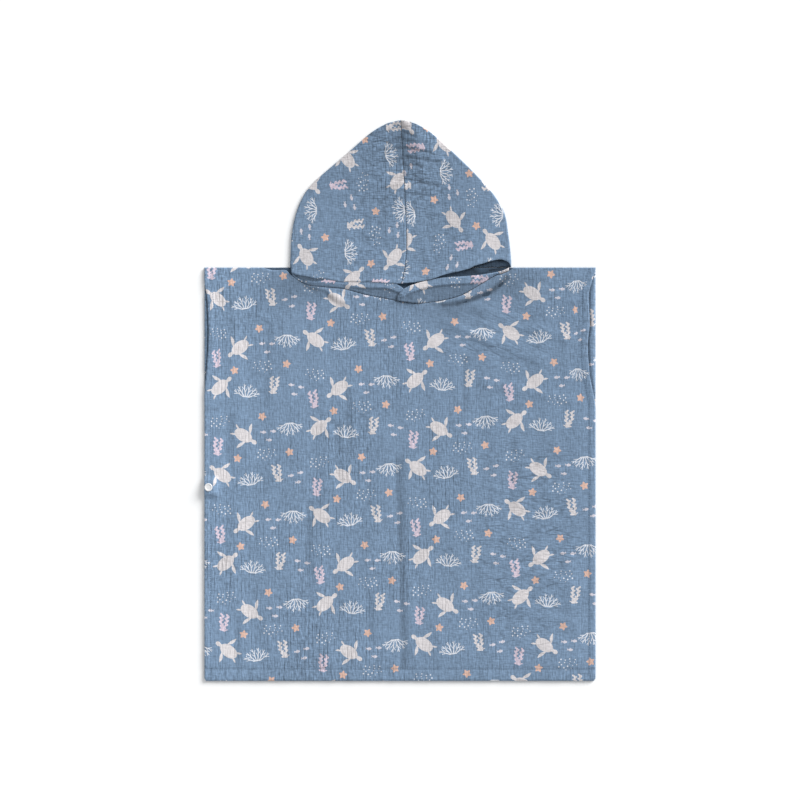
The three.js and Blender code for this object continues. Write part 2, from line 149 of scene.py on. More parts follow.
# Deep creases of the front beside the neck, from point to point: x, y, share of the full depth
LEFT_NECK_CREASE = [
    (-160, 187, 0.25), (-149, 179, 0.4), (-140, 173, 0.6), (-130, 169.5, 0.75), (-118, 167, 0.7),
    (-112.5, 163.5, 0.5), (-107, 156.5, 0.35), (-100, 151, 0.2), (-81, 144, 0.1),
]
RIGHT_NECK_CREASE = [
    (52, 147, 0.2), (66, 146, 0.5), (87, 147.5, 0.8), (100, 152, 0.9), (113, 155.5, 1), (125, 160.5, 1),
    (138, 165.5, 1), (148, 173, 0.9), (157, 181, 0.7), (163.5, 189.5, 0.5), (168, 197, 0.3),
]
LEFT_CREASE_REACH = 5.6
RIGHT_CREASE_REACH = 6.5
NECK_CREASE_DEPTH = 1.5

# The roll of slack cloth above the right crease: x, y, share of the full height
NECK_ROLL = [
    (70, 149.5, 0.3), (90, 154, 0.62), (105, 158.5, 0.85), (120, 165, 1), (132, 172.5, 1),
    (142, 179.5, 0.95), (152, 186, 0.85), (162, 192, 0.5),
]
NECK_ROLL_REACH = 12.0
NECK_ROLL_HEIGHT = 3.2

# Puckers beside the crown seam of the hood, in the same columns as the folds
CROWN_PUCKERS = [
    (6, 412, 24, 404, 4, -0.8), (7, 399, 40, 396, 4, -0.7), (7, 388, 46, 380, 4, -0.8),
    (8, 374, 60, 366, 4.5, -0.8), (8, 362, 34, 360, 4, -0.6), (2, 404, -20, 396, 4, -0.6),
    (2, 388, -34, 384, 4, -0.5), (3, 372, -30, 366, 4, -0.5), (9, 340, 58, 330, 5, -0.6),
    (9, 318, 44, 314, 4.5, -0.5), (4, 330, -34, 324, 4.5, -0.4),
]

# Broad waves of the front: length, drift, sway, height
WAVES = [(43, 170, 9, 0.22), (67, 240, 14, 0.16)]

# Regions of the front where the crinkle runs another way: x, y, reach in x, reach in y
SLANTED_CRINKLE = (150, 98, 125, 62)
LEVEL_CRINKLE = (195, -215, 115, 230)
SLANT = math.radians(-19)

# The printed repeat: motif, x, y, turn in degrees
REPEAT_WIDTH = 150.0
REPEAT_HEIGHT = 135.0
PRINT_CHART = [
    ("turtle", 24, 30, 38),
    ("coral", 66, 24, 8),
    ("pale weed", 108, 30, -6),
    ("fish", 139, 22, 4),
    ("star", 48, 55, 10),
    ("bubbles", 92, 60, 0),
    ("weed", 18, 74, 12),
    ("turtle", 58, 90, -34),
    ("star", 128, 62, -14),
    ("fish", 98, 88, -8),
    ("coral", 130, 96, 176),
    ("bubbles", 22, 112, 8),
    ("star", 88, 118, 30),
]


COLOUR = {"subtype": "COLOR", "size": 3, "min": 0, "max": 1}


class PonchoSettings(bpy.types.PropertyGroup):
    """Sizes and colours of the poncho that a user would change."""

    crinkle_height: bpy.props.FloatProperty(
        name="Crinkle Height", description="Height of the crinkle in the gauze",
        default=0.0005, min=0, max=0.003, unit="LENGTH",
    )
    crinkle_width: bpy.props.FloatProperty(
        name="Crinkle Width", description="Distance between neighbouring creases",
        default=0.0085, min=0.004, max=0.03, unit="LENGTH",
    )
    grid_pitch: bpy.props.FloatProperty(
        name="Grid Pitch", description="Distance between the points of the printed side",
        default=0.00245, min=0.002, max=0.01, unit="LENGTH",
    )
    thread_pitch: bpy.props.FloatProperty(
        name="Yarn Pitch", description="Distance between neighbouring yarns of the gauze",
        default=0.0011, min=0.0004, max=0.003, unit="LENGTH",
    )
    stitch_length: bpy.props.FloatProperty(
        name="Stitch Length", description="Length of one stitch", default=0.0027, unit="LENGTH",
    )
    stitch_pitch: bpy.props.FloatProperty(
        name="Stitch Pitch", description="Distance between stitches", default=0.0036, unit="LENGTH",
    )
    thread_width: bpy.props.FloatProperty(
        name="Thread Width", description="Width of the sewing thread", default=0.00055, unit="LENGTH",
    )
    cloth_colour: bpy.props.FloatVectorProperty(
        name="Cloth", description="Ground colour of the gauze", default=(0.166, 0.246, 0.358), **COLOUR,
    )
    # The inside colour is the unprinted side, made dark to paint the shade inside the hood
    shaded_inside_colour: bpy.props.FloatVectorProperty(
        name="Inside", description="Colour of the unprinted side", default=(0.042, 0.072, 0.115), **COLOUR,
    )
    turtle_colour: bpy.props.FloatVectorProperty(
        name="Turtles", description="Print colour of the turtles", default=(0.61, 0.58, 0.59), **COLOUR,
    )
    coral_colour: bpy.props.FloatVectorProperty(
        name="Corals", description="Print colour of corals and bubbles", default=(0.64, 0.66, 0.71), **COLOUR,
    )
    weed_colour: bpy.props.FloatVectorProperty(
        name="Weeds", description="Print colour of the weeds", default=(0.60, 0.51, 0.59), **COLOUR,
    )
    fish_colour: bpy.props.FloatVectorProperty(
        name="Fish", description="Print colour of the fish", default=(0.58, 0.56, 0.62), **COLOUR,
    )
    star_colour: bpy.props.FloatVectorProperty(
        name="Stars", description="Print colour of the stars", default=(0.63, 0.42, 0.345), **COLOUR,
    )
    thread_colour: bpy.props.FloatVectorProperty(
        name="Thread", description="Colour of the sewing thread", default=(0.15, 0.23, 0.34), **COLOUR,
    )
    snap_colour: bpy.props.FloatVectorProperty(
        name="Snap", description="Colour of the press snap", default=(0.69, 0.69, 0.70), **COLOUR,
    )


# Curves, fades and folds

def along(table, at, key=0, column=1):
    """Values of a table's column at the places given, on a smooth curve through its rows."""
    rows = np.asarray(table, float)
    keys, values = rows[:, key], rows[:, column]
    last = len(keys) - 1
    at = np.asarray(at, float)
    low = np.searchsorted(keys[1:last], at, side="left")
    before = np.maximum(np.arange(last + 1) - 1, 0)
    after = np.minimum(np.arange(last + 1) + 1, last)
    slope = (values[after] - values[before]) / (keys[after] - keys[before])
    span = keys[low + 1] - keys[low]
    t = np.clip((at - keys[low]) / span, 0, 1)
    rise = values[low + 1] - values[low]
    bend = t * (1 - t) * ((1 - t) * (slope[low] * span - rise) - t * (slope[low + 1] * span - rise))
    return values[low] + t * rise + bend


def fade(distance, near, far):
    """1 up to the near distance, 0 past the far one, straight between them."""
    return np.clip((far - distance) / (far - near), 0, 1)


def lerp(a, b, t):
    return a + (b - a) * t


def fold_height(folds, x, y):
    """Height of a table of folds: a rounded profile across each straight stretch."""
    ridge = np.zeros_like(x)
    trough = np.zeros_like(x)
    for x1, y1, x2, y2, half, rise in folds:
        dx, dy = x2 - x1, y2 - y1
        run = np.clip(((x - x1) * dx + (y - y1) * dy) / (dx * dx + dy * dy), 0, 1)
        away = np.hypot(x - x1 - run * dx, y - y1 - run * dy)
        height = rise * (0.5 + 0.5 * np.cos(np.pi * np.minimum(away / half, 1)))
        ridge = np.maximum(ridge, height)
        trough = np.minimum(trough, height)
    return ridge + trough


def crease_rows(points, half, depth):
    """A table of folds that sinks one crease from point to point."""
    return [
        (*start[:2], *end[:2], half, -depth * (start[2] + end[2]) / 2)
        for start, end in zip(points[:-1], points[1:])
    ]


NECK_CREASES = [
    *crease_rows(LEFT_NECK_CREASE, LEFT_CREASE_REACH, NECK_CREASE_DEPTH),
    *crease_rows(RIGHT_NECK_CREASE, RIGHT_CREASE_REACH, NECK_CREASE_DEPTH),
]
ROLLS = crease_rows(NECK_ROLL, NECK_ROLL_REACH, -NECK_ROLL_HEIGHT)
RAISED_FOLDS = [*FRONT_FOLDS, *ROLLS]


def wave_height(x, y):
    height = np.zeros_like(x)
    for length, drift, sway, rise in WAVES:
        height += rise * (1 + np.sin((x + sway * np.sin(y / drift * np.pi)) / length * 2 * np.pi))
    return height


# Crinkle of the gauze

def soft_noise(x, y, seed):
    """Smooth noise from -1 to 1 with one cell a unit."""
    cells = 64
    values = np.random.default_rng(seed).uniform(-1, 1, (cells, cells))
    column, row = np.floor(x).astype(int), np.floor(y).astype(int)
    s, t = x - column, y - row
    s = s * s * s * (s * (6 * s - 15) + 10)
    t = t * t * t * (t * (6 * t - 15) + 10)
    left, right = column % cells, (column + 1) % cells
    low, high = row % cells, (row + 1) % cells
    return lerp(
        lerp(values[low, left], values[low, right], s),
        lerp(values[high, left], values[high, right], s), t,
    )


def creases(x, y, width, turn, seed):
    """Long narrow creases that run along +Y when turn is 0, between soft ridges."""
    c, s = math.cos(turn), math.sin(turn)
    across = (x * c + y * s) / width
    run = (y * c - x * s) / (4.2 * width)
    bent = across + 0.7 * soft_noise(across * 0.31 + 9.3, run * 1.3, seed + 1)
    fine = soft_noise(bent, run, seed)
    other = soft_noise(bent * 0.53 + 5.7, run * 0.7 + 2.1, seed + 2)
    return 0.5 * fine + 0.32 * other - 0.55 * (1 - np.abs(fine)) ** 5


def in_region(region, x, y):
    cx, cy, rx, ry = region
    away = np.hypot((x - cx) / rx, (y - cy) / ry)
    return np.clip(1.5 - away, 0, 1) ** 2


def crinkle_weights(x, y, kind):
    """How strongly the upright, slanted and level creases show at each point."""
    patchy = 0.72 + 0.42 * soft_noise(x / 70 + 3.1, y / 95 + 7.7, 21)
    if kind == "front":
        slanted = in_region(SLANTED_CRINKLE, x, y)
        level = 0.8 * in_region(LEVEL_CRINKLE, x, y)
        upright = patchy * (1 - 0.75 * slanted) * (1 - 0.6 * level) * lerp(1, 0.72, fade(-x, -60, 60))
        return upright, 0.6 * slanted, np.maximum(level, 0.35 * patchy)
    if kind == "hood":
        beside_seam = fade(np.abs(x - 30), 10, 75) * fade(-(y - 300), -40, 60)
        upright = patchy * (0.7 + 0.6 * beside_seam)
        return upright, 0.15 * patchy, 0.75 * patchy + 0.5 * beside_seam
    return 0.7 * patchy, 0.1 * patchy, 0.4 * patchy


MOUTH_STREAK_WIDTH = 4.6
MOUTH_STREAK_TURN = math.pi / 2 + math.radians(15)
MOUTH_WRINKLE = 0.9


def mouth_streaks(x, y):
    """Lengthwise wrinkles of the cloth seen inside the mouth of the hood, from about -1 to 1."""
    return 1.5 * creases(x, y, MOUTH_STREAK_WIDTH, MOUTH_STREAK_TURN, 77)


def in_mouth(x, y):
    """1 where the mouth of the hood shows the cloth beneath, and 0 under the right cheek."""
    return fade(-x, -60, -25) * fade(along(RIGHT_RIM, x) - y, -4, -1) * fade(y, 218, 244)


def mouth_wrinkle(x, y):
    return MOUTH_WRINKLE * in_mouth(x, y) * (1 + mouth_streaks(x, y))


# Broad soft patches of painted shade: x, y, reach in x, reach in y, share
FRONT_SHADE_PATCHES = [
    (-162, 176, 48, 28, 0.46), (168, 182, 42, 26, 0.42), (82, 136, 40, 16, 0.30),
    (0, 152, 190, 30, 0.14), (235, -40, 60, 260, 0.10), (90, -60, 130, 300, 0.07),
]
HOOD_SHADE_PATCHES = [(88, 300, 40, 85, 0.20), (-26, 290, 26, 42, 0.14), (22, 380, 20, 20, 0.20)]
# Painted light along the left edge, and the most painted light that any place takes
LEFT_EDGE_LIGHT = 0.24
LIGHTEST = -0.3


def painted_shade_patches(rows, x, y):
    return sum(
        share * np.exp(-((x - middle_x) / reach_x) ** 2 - ((y - middle_y) / reach_y) ** 2)
        for middle_x, middle_y, reach_x, reach_y, share in rows
    )


def arm_opening(x, y):
    """How far the front is pulled in beside each place, at the arm opening of its own side."""
    return np.where(x < 0, along(ARM_OPENING, y, column=1), along(ARM_OPENING, y, column=2))


def from_bottom_stitches(y):
    return np.abs(y - HEM_Y - BOTTOM_HEM + BOTTOM_STITCH_IN)


def from_side_stitches(x):
    return np.abs(HALF_WIDTH - np.abs(x) - SIDE_HEM + SIDE_STITCH_IN)


# Painted shade inside the hood, lighter and darker along its wrinkles
def streak_shade(x, y):
    return 0.5 - 0.8 * mouth_streaks(x, y)


# Painted shade in the neck creases, the folds, along the hem stitching and in broad patches, and painted
# light along the left edge
def front_shade(x, y):
    deep = -fold_height(NECK_CREASES, x, y) / NECK_CREASE_DEPTH
    shallow = -np.minimum(fold_height(FRONT_FOLDS, x, y), 0)
    uneven = 0.7 + 0.3 * soft_noise(x / 8, y / 8, 14)
    hem = 0.62 * fade(from_bottom_stitches(y), 0.6, 2.6) * uneven
    side_hem = 0.3 * fade(from_side_stitches(x), 0.4, 2.2) * uneven
    broad = painted_shade_patches(FRONT_SHADE_PATCHES, x, y) - LEFT_EDGE_LIGHT * fade(x, -290, -205)
    return np.clip(0.8 * deep + 0.35 * shallow ** 2 + hem + side_hem + broad, LIGHTEST, 1)


# Painted shade beside the crown seam, on its puckers and over the upper hood, and inside the hood on its
# under layer
def hood_shade(x, y, under):
    puckers = np.clip(-0.7 * fold_height(CROWN_PUCKERS, x, y), 0, 1)
    from_seam = x - along(CROWN_SEAM, y)
    right = from_seam > 0
    drawn = fade(-y, -405, -330) * np.where(right, fade(from_seam, 2, 34), fade(-from_seam, 0, 16))
    broad = np.where(right, 0.05, 0.08 + 0.14 * fade(-y, -370, -270)) + painted_shade_patches(HOOD_SHADE_PATCHES, x, y)
    return np.clip(np.where(under, streak_shade(x, y), puckers + 0.5 * drawn + broad), 0, 1)


# Painted shade on the cheek below the face hem, with a darker line at the hem's edge
def cheek_shade(x, y):
    below = np.where(x < CHEEK_CROSSING, along(LEFT_RIM, x), along(RIGHT_RIM, x)) - y
    past_hem = fade(-below, -FACE_HEM - 1, -FACE_HEM + 1)
    return 0.55 * past_hem + 0.4 * fade(np.abs(below - FACE_HEM), 0.5, 2)


# Painted shade beside the front's edge at the arm openings, and inside the hood
def back_shade(x, y, under):
    opening = arm_opening(x, y)
    from_front = opening - (HALF_WIDTH - np.abs(x))
    deepest = np.where(x < 0, 1, fade(np.abs(y - 92), 28, 40))
    beside_front = 0.9 * deepest * fade(np.abs(from_front), 0.8, 2.6) * (opening > 0.8)
    inside_hood = in_mouth(x, y) * streak_shade(x, y)
    return np.where(under, 0, np.clip(beside_front + inside_hood, 0, 1))


def fold_shade(x, y, kind, under):
    """How much painted shade darkens the cloth in a crease, beside a seam or in a broad patch. Below 0 it is
    painted light.
    """
    if kind == "front":
        return front_shade(x, y)
    if kind == "hood":
        return hood_shade(x, y, under)
    if kind == "cheek":
        return cheek_shade(x, y)
    return back_shade(x, y, under)


def crinkle_height(settings, x, y, kind):
    """Relief of the crinkle in millimetres, above and below the smooth cloth."""
    width = settings.crinkle_width / MM
    upright, slanted, level = crinkle_weights(x, y, kind)
    height = upright * creases(x, y, width, 0, 31)
    height += 2.0 * slanted * creases(x, y, 1.15 * width, math.pi / 2 + SLANT, 47)
    height += 1.2 * level * creases(x, y, width, math.pi / 2, 63)
    return settings.crinkle_height / MM * height


# The print: each motif is a list of closed outlines about its own middle

def turned(points, degrees, x=0.0, y=0.0, scale=1.0):
    a = math.radians(degrees)
    spin = np.array([[math.cos(a), math.sin(a)], [-math.sin(a), math.cos(a)]])
    return scale * np.asarray(points, float) @ spin + (x, y)


def ellipse(x, y, half_length, half_width, degrees=0, points=14):
    a = np.arange(points) * 2 * np.pi / points
    return turned(np.stack([half_length * np.cos(a), half_width * np.sin(a)], 1), degrees, x, y)


def stroke(x, y, degrees, length, width, tip_width):
    """A tapered stroke with blunt ends, from a point in a direction."""
    a, b = width / 2, tip_width / 2
    outline = [(-a, 0), (0, -a), (length, -b), (length + b, 0), (length, b), (0, a)]
    return turned(outline, degrees, x, y)


TURTLE_SCALE = 1.32


def turtle():
    leaf = np.sin(np.linspace(0, np.pi, 7))
    span = np.linspace(0, 1, 7)
    flipper = [(13.5 * t, 1.7 * w + 1.6 * w * t) for t, w in zip(span, leaf)]
    flipper += [(13.5 * t, -1.2 * w) for t, w in zip(span[-2:0:-1], leaf[-2:0:-1])]
    parts = [ellipse(0, 0, 11.2, 7.0, points=22), ellipse(14.8, 0, 3.3, 2.5), ellipse(11, 0, 3.6, 1.8)]
    for side in (-1, 1):
        mirrored = [(x, side * y) for x, y in flipper]
        parts.append(turned(mirrored, side * 112, 6.2, side * 4.5))
        parts.append(turned(mirrored, side * 155, -7.2, side * 3.4, 0.58))
    return [TURTLE_SCALE * part for part in parts]


def coral():
    foot = -10
    strokes = [stroke(-5.5, foot, 0, 11, 1.9, 1.7)]
    for branch in range(6):
        from_middle = branch - 2.5
        aim = 90 - from_middle * 25
        root = from_middle * 2.0
        length = 20 - 1.6 * abs(from_middle)
        strokes.append(stroke(root, foot, aim, length, 1.55, 1.0))
        for share, side, twig in ((0.34, 1, 6.4), (0.52, -1, 6.8), (0.74, 1, 4.6)):
            x = root + share * length * math.cos(math.radians(aim))
            y = foot + share * length * math.sin(math.radians(aim))
            strokes.append(stroke(x, y, aim + side * 33, twig, 1.15, 0.85))
    return strokes


def weed():
    fronds = []
    for side in (-1, 1):
        height = np.linspace(-12, 12, 9)
        middle = side * (3.4 + 0.14 * height) + 0.9 * np.sin(height / 3 + side)
        right = list(zip(middle + 1.25, height))
        left = list(zip(middle - 1.25, height))
        fronds.append(np.array(right + left[::-1]))
        for leaf, (x, y) in enumerate(zip(middle[1:], height[1:])):
            out = 1 if leaf % 2 else -1
            fronds.append(ellipse(x + 1.5 * out, y, 2.7, 1.5, 45 * out, 8))
    fronds.append(stroke(-4, -12.2, 8, 8, 2.6, 2.2))
    fronds.append(stroke(-3, -11.5, 160, 5, 2.0, 1.2))
    return fronds


def star():
    a = np.arange(20) * 2 * np.pi / 20
    reach = np.tile([6.9, 5.2, 3.7, 5.2], 5)
    return [np.stack([reach * np.sin(a), reach * np.cos(a)], 1)]


def fish():
    """A small school of three."""
    school = []
    for x, y in ((-9, 4.5), (6, 7.5), (1, -6.5)):
        fins = [(1.6, 1.2), (-0.6, 3.1), (-1.3, -2.9), (1.2, -1.2)]
        tail = [(-2.8, 0), (-5.9, 1.9), (-5.1, -0.2), (-5.8, -2.2)]
        school.append(ellipse(x, y, 3.7, 2.0, 6, 10))
        school += [np.array(part) + (x, y) for part in (fins, tail)]
    return school


def bubbles():
    dots, count = [], 17
    for dot in range(count):
        away = math.sqrt((dot + 0.6) / count)
        a = 2.4 * dot
        size = 0.7 + 0.6 * ((dot * 7) % 5) / 4
        dots.append(ellipse(17 * away * math.cos(a), 9.5 * away * math.sin(a), size, size, 0, 6))
    return dots


# What draws each motif, and the setting that colours it
MOTIFS = {
    "turtle": (turtle, "turtle_colour"), "coral": (coral, "coral_colour"), "weed": (weed, "weed_colour"),
    "pale weed": (weed, "turtle_colour"), "star": (star, "star_colour"), "fish": (fish, "fish_colour"),
    "bubbles": (bubbles, "coral_colour"),
}
PRINT_MARGIN = 20


def printed(settings, low, high, degrees=0.0, shift=(0.0, 0.0), keep=lambda middle: True):
    """The motifs over a stretch of flat cloth: half-drop repeats, turned about a shifted origin."""
    motifs = {name: (draw(), getattr(settings, colour)) for name, (draw, colour) in MOTIFS.items()}
    reach = 2 + int(max(high[0] - low[0], high[1] - low[1]) / min(REPEAT_WIDTH, REPEAT_HEIGHT))
    shapes = []
    for column in range(-reach, reach + 1):
        drop = REPEAT_HEIGHT / 2 * (column % 2)
        for row in range(-reach, reach + 1):
            for place, (name, x, y, turn) in enumerate(PRINT_CHART):
                at = (column * REPEAT_WIDTH + x, row * REPEAT_HEIGHT + y + drop)
                middle = turned([at], degrees, *shift)[0]
                past_low = np.any(middle < np.array(low) - PRINT_MARGIN)
                if past_low or np.any(middle > np.array(high) + PRINT_MARGIN) or not keep(middle):
                    continue
                flipped = -1 if (column + row + place) % 2 else 1
                outlines, colour = motifs[name]
                for outline in outlines:
                    shape = turned(outline * (flipped, 1), degrees + flipped * turn, *middle)
                    shapes.append((shape, colour, True))
    return shapes


# Flat triangles of a panel, and the closed shell made from them

def inset(loop, distance):
    """The points of a closed outline, moved in towards its inside."""
    ahead = np.roll(loop, -1, 0) - np.roll(loop, 1, 0)
    ahead /= np.maximum(np.hypot(*ahead.T), 1e-9)[:, None]
    area = np.sum(loop[:, 0] * np.roll(loop[:, 1], -1) - np.roll(loop[:, 0], -1) * loop[:, 1])
    inward = np.stack([-ahead[:, 1], ahead[:, 0]], 1) * (1 if area > 0 else -1)
    return loop + distance * inward


def clear_of(loop, points, distance):
    """The points that lie further than a distance from every stretch of a closed outline."""
    keep = np.ones(len(points), bool)
    for start, end in zip(loop, np.roll(loop, -1, 0)):
        run = end - start
        near = np.flatnonzero(
            keep
            & (np.abs(points[:, 0] - (start[0] + end[0]) / 2) < abs(run[0]) / 2 + distance)
            & (np.abs(points[:, 1] - (start[1] + end[1]) / 2) < abs(run[1]) / 2 + distance)
        )
        if len(near):
            t = np.clip(((points[near] - start) @ run) / max(run @ run, 1e-12), 0, 1)
            away = points[near] - start - t[:, None] * run
            keep[near] = np.hypot(*away.T) > distance
    return points[keep]


def inside_of(loop, points):
    """Whether each point lies inside a closed outline."""
    order = np.argsort(points[:, 1])
    heights = points[order, 1]
    crossings = np.zeros(len(points), int)
    for start, end in zip(loop, np.roll(loop, -1, 0)):
        first, last = np.searchsorted(heights, sorted((start[1], end[1])))
        level = order[first:last]
        if len(level):
            share = (points[level, 1] - start[1]) / (end[1] - start[1])
            crossings[level] += lerp(start[0], end[0], share) > points[level, 0]
    return crossings % 2 == 1


def print_at(points, shapes):
    """Print colour at each point, painted shade patches too, the last shape on top. Alpha is 0 on plain
    cloth.
    """
    colours = np.zeros((len(points), 4))
    order = np.argsort(points[:, 1])
    heights = points[order, 1]
    for outline, colour, _ in shapes:
        low, high = outline.min(0), outline.max(0)
        first, last = np.searchsorted(heights, (low[1], high[1]))
        near = order[first:last]
        near = near[(points[near, 0] > low[0]) & (points[near, 0] < high[0])]
        if len(near):
            colours[near[inside_of(outline, points[near])]] = (*colour, 1)
    return colours


ONLY_INSIDE = 1
MERGED_WITHIN = 1e-4


def triangulated(loop, points, shapes, lines):
    """Points, corners and print colours of the triangles inside an outline.

    A shape is an outline, a colour and whether the triangles follow the outline. They follow every line.
    """
    low, high = loop.min(0), loop.max(0)
    shown = [s for s in shapes if np.all(s[0].max(0) > low) and np.all(s[0].min(0) < high)]
    flat = [Vector(p) for p in loop]
    edges = []
    for outline, _, followed in shown:
        if followed:
            first = len(flat)
            edges += [(first + i, first + (i + 1) % len(outline)) for i in range(len(outline))]
            flat += [Vector(p) for p in outline]
    for line in lines:
        first = len(flat)
        edges += [(first + i, first + i + 1) for i in range(len(line) - 1)]
        flat += [Vector(p) for p in line]
    flat += [Vector(p) for p in points]
    face = list(range(len(loop)))
    found = delaunay_2d_cdt(flat, edges, [face], ONLY_INSIDE, MERGED_WITHIN, False)
    place = np.array(found[0], float)
    corners = np.array(found[2])
    middles = place[corners].mean(1)
    within = inside_of(loop, middles)
    used, corners = np.unique(corners[within], return_inverse=True)
    return place[used], corners.reshape(-1, 3), print_at(middles[within], shown)


def border_of(corners):
    """The closed loop of edges that only one triangle has, in order."""
    edges = np.concatenate([corners[:, [0, 1]], corners[:, [1, 2]], corners[:, [2, 0]]])
    size = corners.max() + 1
    code = edges[:, 0] * size + edges[:, 1]
    back = edges[:, 1] * size + edges[:, 0]
    after = dict(edges[~np.isin(code, back)].tolist())
    start = here = next(iter(after))
    loop = [start]
    while after[here] != start:
        here = after[here]
        loop.append(here)
    return np.array(loop)


EDGE_ROUND = 0.75
FULL_CRINKLE = 1.6


def linked(name, data):
    """A new object in the scene."""
    item = bpy.data.objects.new(name, data)
    bpy.context.scene.collection.objects.link(item)
    return item


def shell(name, outline, points, shapes, under_points, under_shapes, outer, inner, kind, lines=(),
          under_lines=()):
    """A closed cloth shell. outer and inner turn flat places into points in space, in millimetres."""
    ring = inset(outline, EDGE_ROUND)
    points = clear_of(outline, points, 2 * EDGE_ROUND)
    place, corners, colours = triangulated(outline, np.concatenate([ring, points]), shapes, lines)
    loop = border_of(corners)
    edge = place[loop]
    under_ring = inset(edge, EDGE_ROUND)
    under_points = clear_of(edge, under_points, 2 * EDGE_ROUND)
    under, under_corners, under_colours = triangulated(
        edge, np.concatenate([under_ring, under_points]), under_shapes, under_lines
    )
    under_loop = border_of(under_corners)
    top = outer(*place.T)
    bottom = inner(*under.T)
    rounded = (outer(*edge.T) + inner(*edge.T)) / 2
    top[loop] = rounded
    number = np.arange(len(under)) + len(place)
    at = {tuple(p): i for p, i in zip(edge, loop)}
    number[under_loop] = [at[tuple(p)] for p in under[under_loop]]
    vertices = np.concatenate([top, bottom])
    triangles = np.concatenate([corners, number[under_corners][:, ::-1]])
    shades = np.concatenate([colours, under_colours])
    sides = np.concatenate([np.zeros(len(corners), int), np.ones(len(under_corners), int)])
    flat = np.concatenate([place, under])
    used, triangles = np.unique(triangles, return_inverse=True)
    triangles = triangles.reshape(-1, 3)
    if signed_volume(vertices[used], triangles) < 0:
        triangles = triangles[:, ::-1]
    mesh = bpy.data.meshes.new(name)
    mesh.from_pydata((vertices[used] * MM).tolist(), [], triangles.tolist())
    mesh.polygons.foreach_set("use_smooth", np.ones(len(triangles), bool))
    mesh.polygons.foreach_set("material_index", sides)
    print_and_shade_colour = mesh.color_attributes.new("print_and_shade_colour", "FLOAT_COLOR", "CORNER")
    print_and_shade_colour.data.foreach_set("color", np.repeat(shades, 3, 0).ravel())
    # Painted shade for each point, painted light below 0, kept in the alpha of the crinkle attribute
    shade = fold_shade(*vertices[used, :2].T, kind, used >= len(place))
    weights = np.clip(np.stack(crinkle_weights(*flat[used].T, kind), 1) / FULL_CRINKLE, 0, 1)
    weights = np.concatenate([weights, shade[:, None]], 1)
    crinkle = mesh.color_attributes.new("crinkle", "FLOAT_COLOR", "POINT")
    crinkle.data.foreach_set("color", weights.ravel())
    mesh.update()
    return linked(name, mesh)


def signed_volume(points, corners):
    a, b, c = (points[corners[:, i]] for i in range(3))
    return np.sum(a * np.cross(b, c)) / 6


def staggered(low, high, pitch, pitch_y=None):
    """Points of a grid with every other row moved by half a pitch."""
    pitch_y = pitch_y or pitch * 0.9
    rows = np.arange(low[1] + pitch_y / 2, high[1], pitch_y)
    columns = np.arange(low[0] + pitch / 4, high[0], pitch)
    x, y = np.meshgrid(columns, rows)
    x = x + pitch / 2 * (np.arange(len(rows)) % 2)[:, None]
    return np.stack([x.ravel(), y.ravel()], 1)


def polyline(points, pitch):
    """Evenly spaced places along straight stretches, without the last point."""
    points = np.asarray(points, float)
    placed = []
    for start, end in zip(points[:-1], points[1:]):
        steps = max(1, round(float(np.hypot(*(end - start))) / pitch))
        placed += [lerp(start, end, step / steps) for step in range(steps)]
    return np.array(placed)


# Materials

def new_material(name):
    material = bpy.data.materials.new(name)
    material.use_nodes = True
    return material, material.node_tree, material.node_tree.nodes["Principled BSDF"]


def set_inputs(tree, node, inputs):
    """Set a node's inputs, and link those whose value comes from another node."""
    for socket, value in inputs.items():
        if isinstance(value, bpy.types.NodeSocket):
            tree.links.new(value, node.inputs[socket])
        else:
            node.inputs[socket].default_value = value


def add_node(tree, kind, inputs=None, **options):
    node = tree.nodes.new(kind)
    for option, value in options.items():
        setattr(node, option, value)
    set_inputs(tree, node, inputs or {})
    return node


def maths(tree, operation, *values):
    return add_node(tree, "ShaderNodeMath", dict(enumerate(values)), operation=operation).outputs[0]


def blended(tree, share, first, second):
    """A colour that goes from the first to the second with a share."""
    return add_node(tree, "ShaderNodeMix", {0: share, 6: first, 7: second}, data_type="RGBA").outputs[2]


def tone(colour, share=1.0):
    return (*(min(share * c, 1) for c in colour), 1)


def bump(tree, height, strength, distance, inputs=None, invert=False):
    inputs = {"Height": height, "Strength": strength, "Distance": distance, **(inputs or {})}
    return add_node(tree, "ShaderNodeBump", inputs, invert=invert).outputs[0]


def stretched(tree, where, turn, width, length):
    """Places for a pattern that is turned, with one unit to each width and length."""
    inputs = {"Vector": where, "Rotation": (0, 0, turn), "Scale": (width, length, 1)}
    return add_node(tree, "ShaderNodeMapping", inputs, vector_type="TEXTURE").outputs[0]


def flat_noise(tree, place, scale):
    inputs = {"Vector": place, "Scale": scale, "Detail": 1.0}
    return add_node(tree, "ShaderNodeTexNoise", inputs, noise_dimensions="2D").outputs[0]


def fading_lines(tree, line, steepness, patches, contrast, threshold, weight):
    """Dark lines where a pattern is near 0, which fade in and out over patches, times a weight."""
    held = maths(tree, "MAXIMUM", maths(tree, "MULTIPLY_ADD", line, -steepness, 1.0), 0.0)
    shown = maths(tree, "MAXIMUM", maths(tree, "MULTIPLY_ADD", patches, contrast, -threshold), 0.0)
    return maths(tree, "MULTIPLY", maths(tree, "MULTIPLY", held, shown), weight)


def crease_lines(tree, where, turn, width, length, weight):
    """Fine branching creases in one direction."""
    place = stretched(tree, where, turn, width, length)
    cells = add_node(
        tree, "ShaderNodeTexVoronoi", {"Vector": place, "Scale": 1.0, "Randomness": 0.95},
        feature="DISTANCE_TO_EDGE", voronoi_dimensions="2D",
    )
    return fading_lines(tree, cells.outputs[0], 5.0, flat_noise(tree, place, 0.45), 2.6, 0.75, weight)


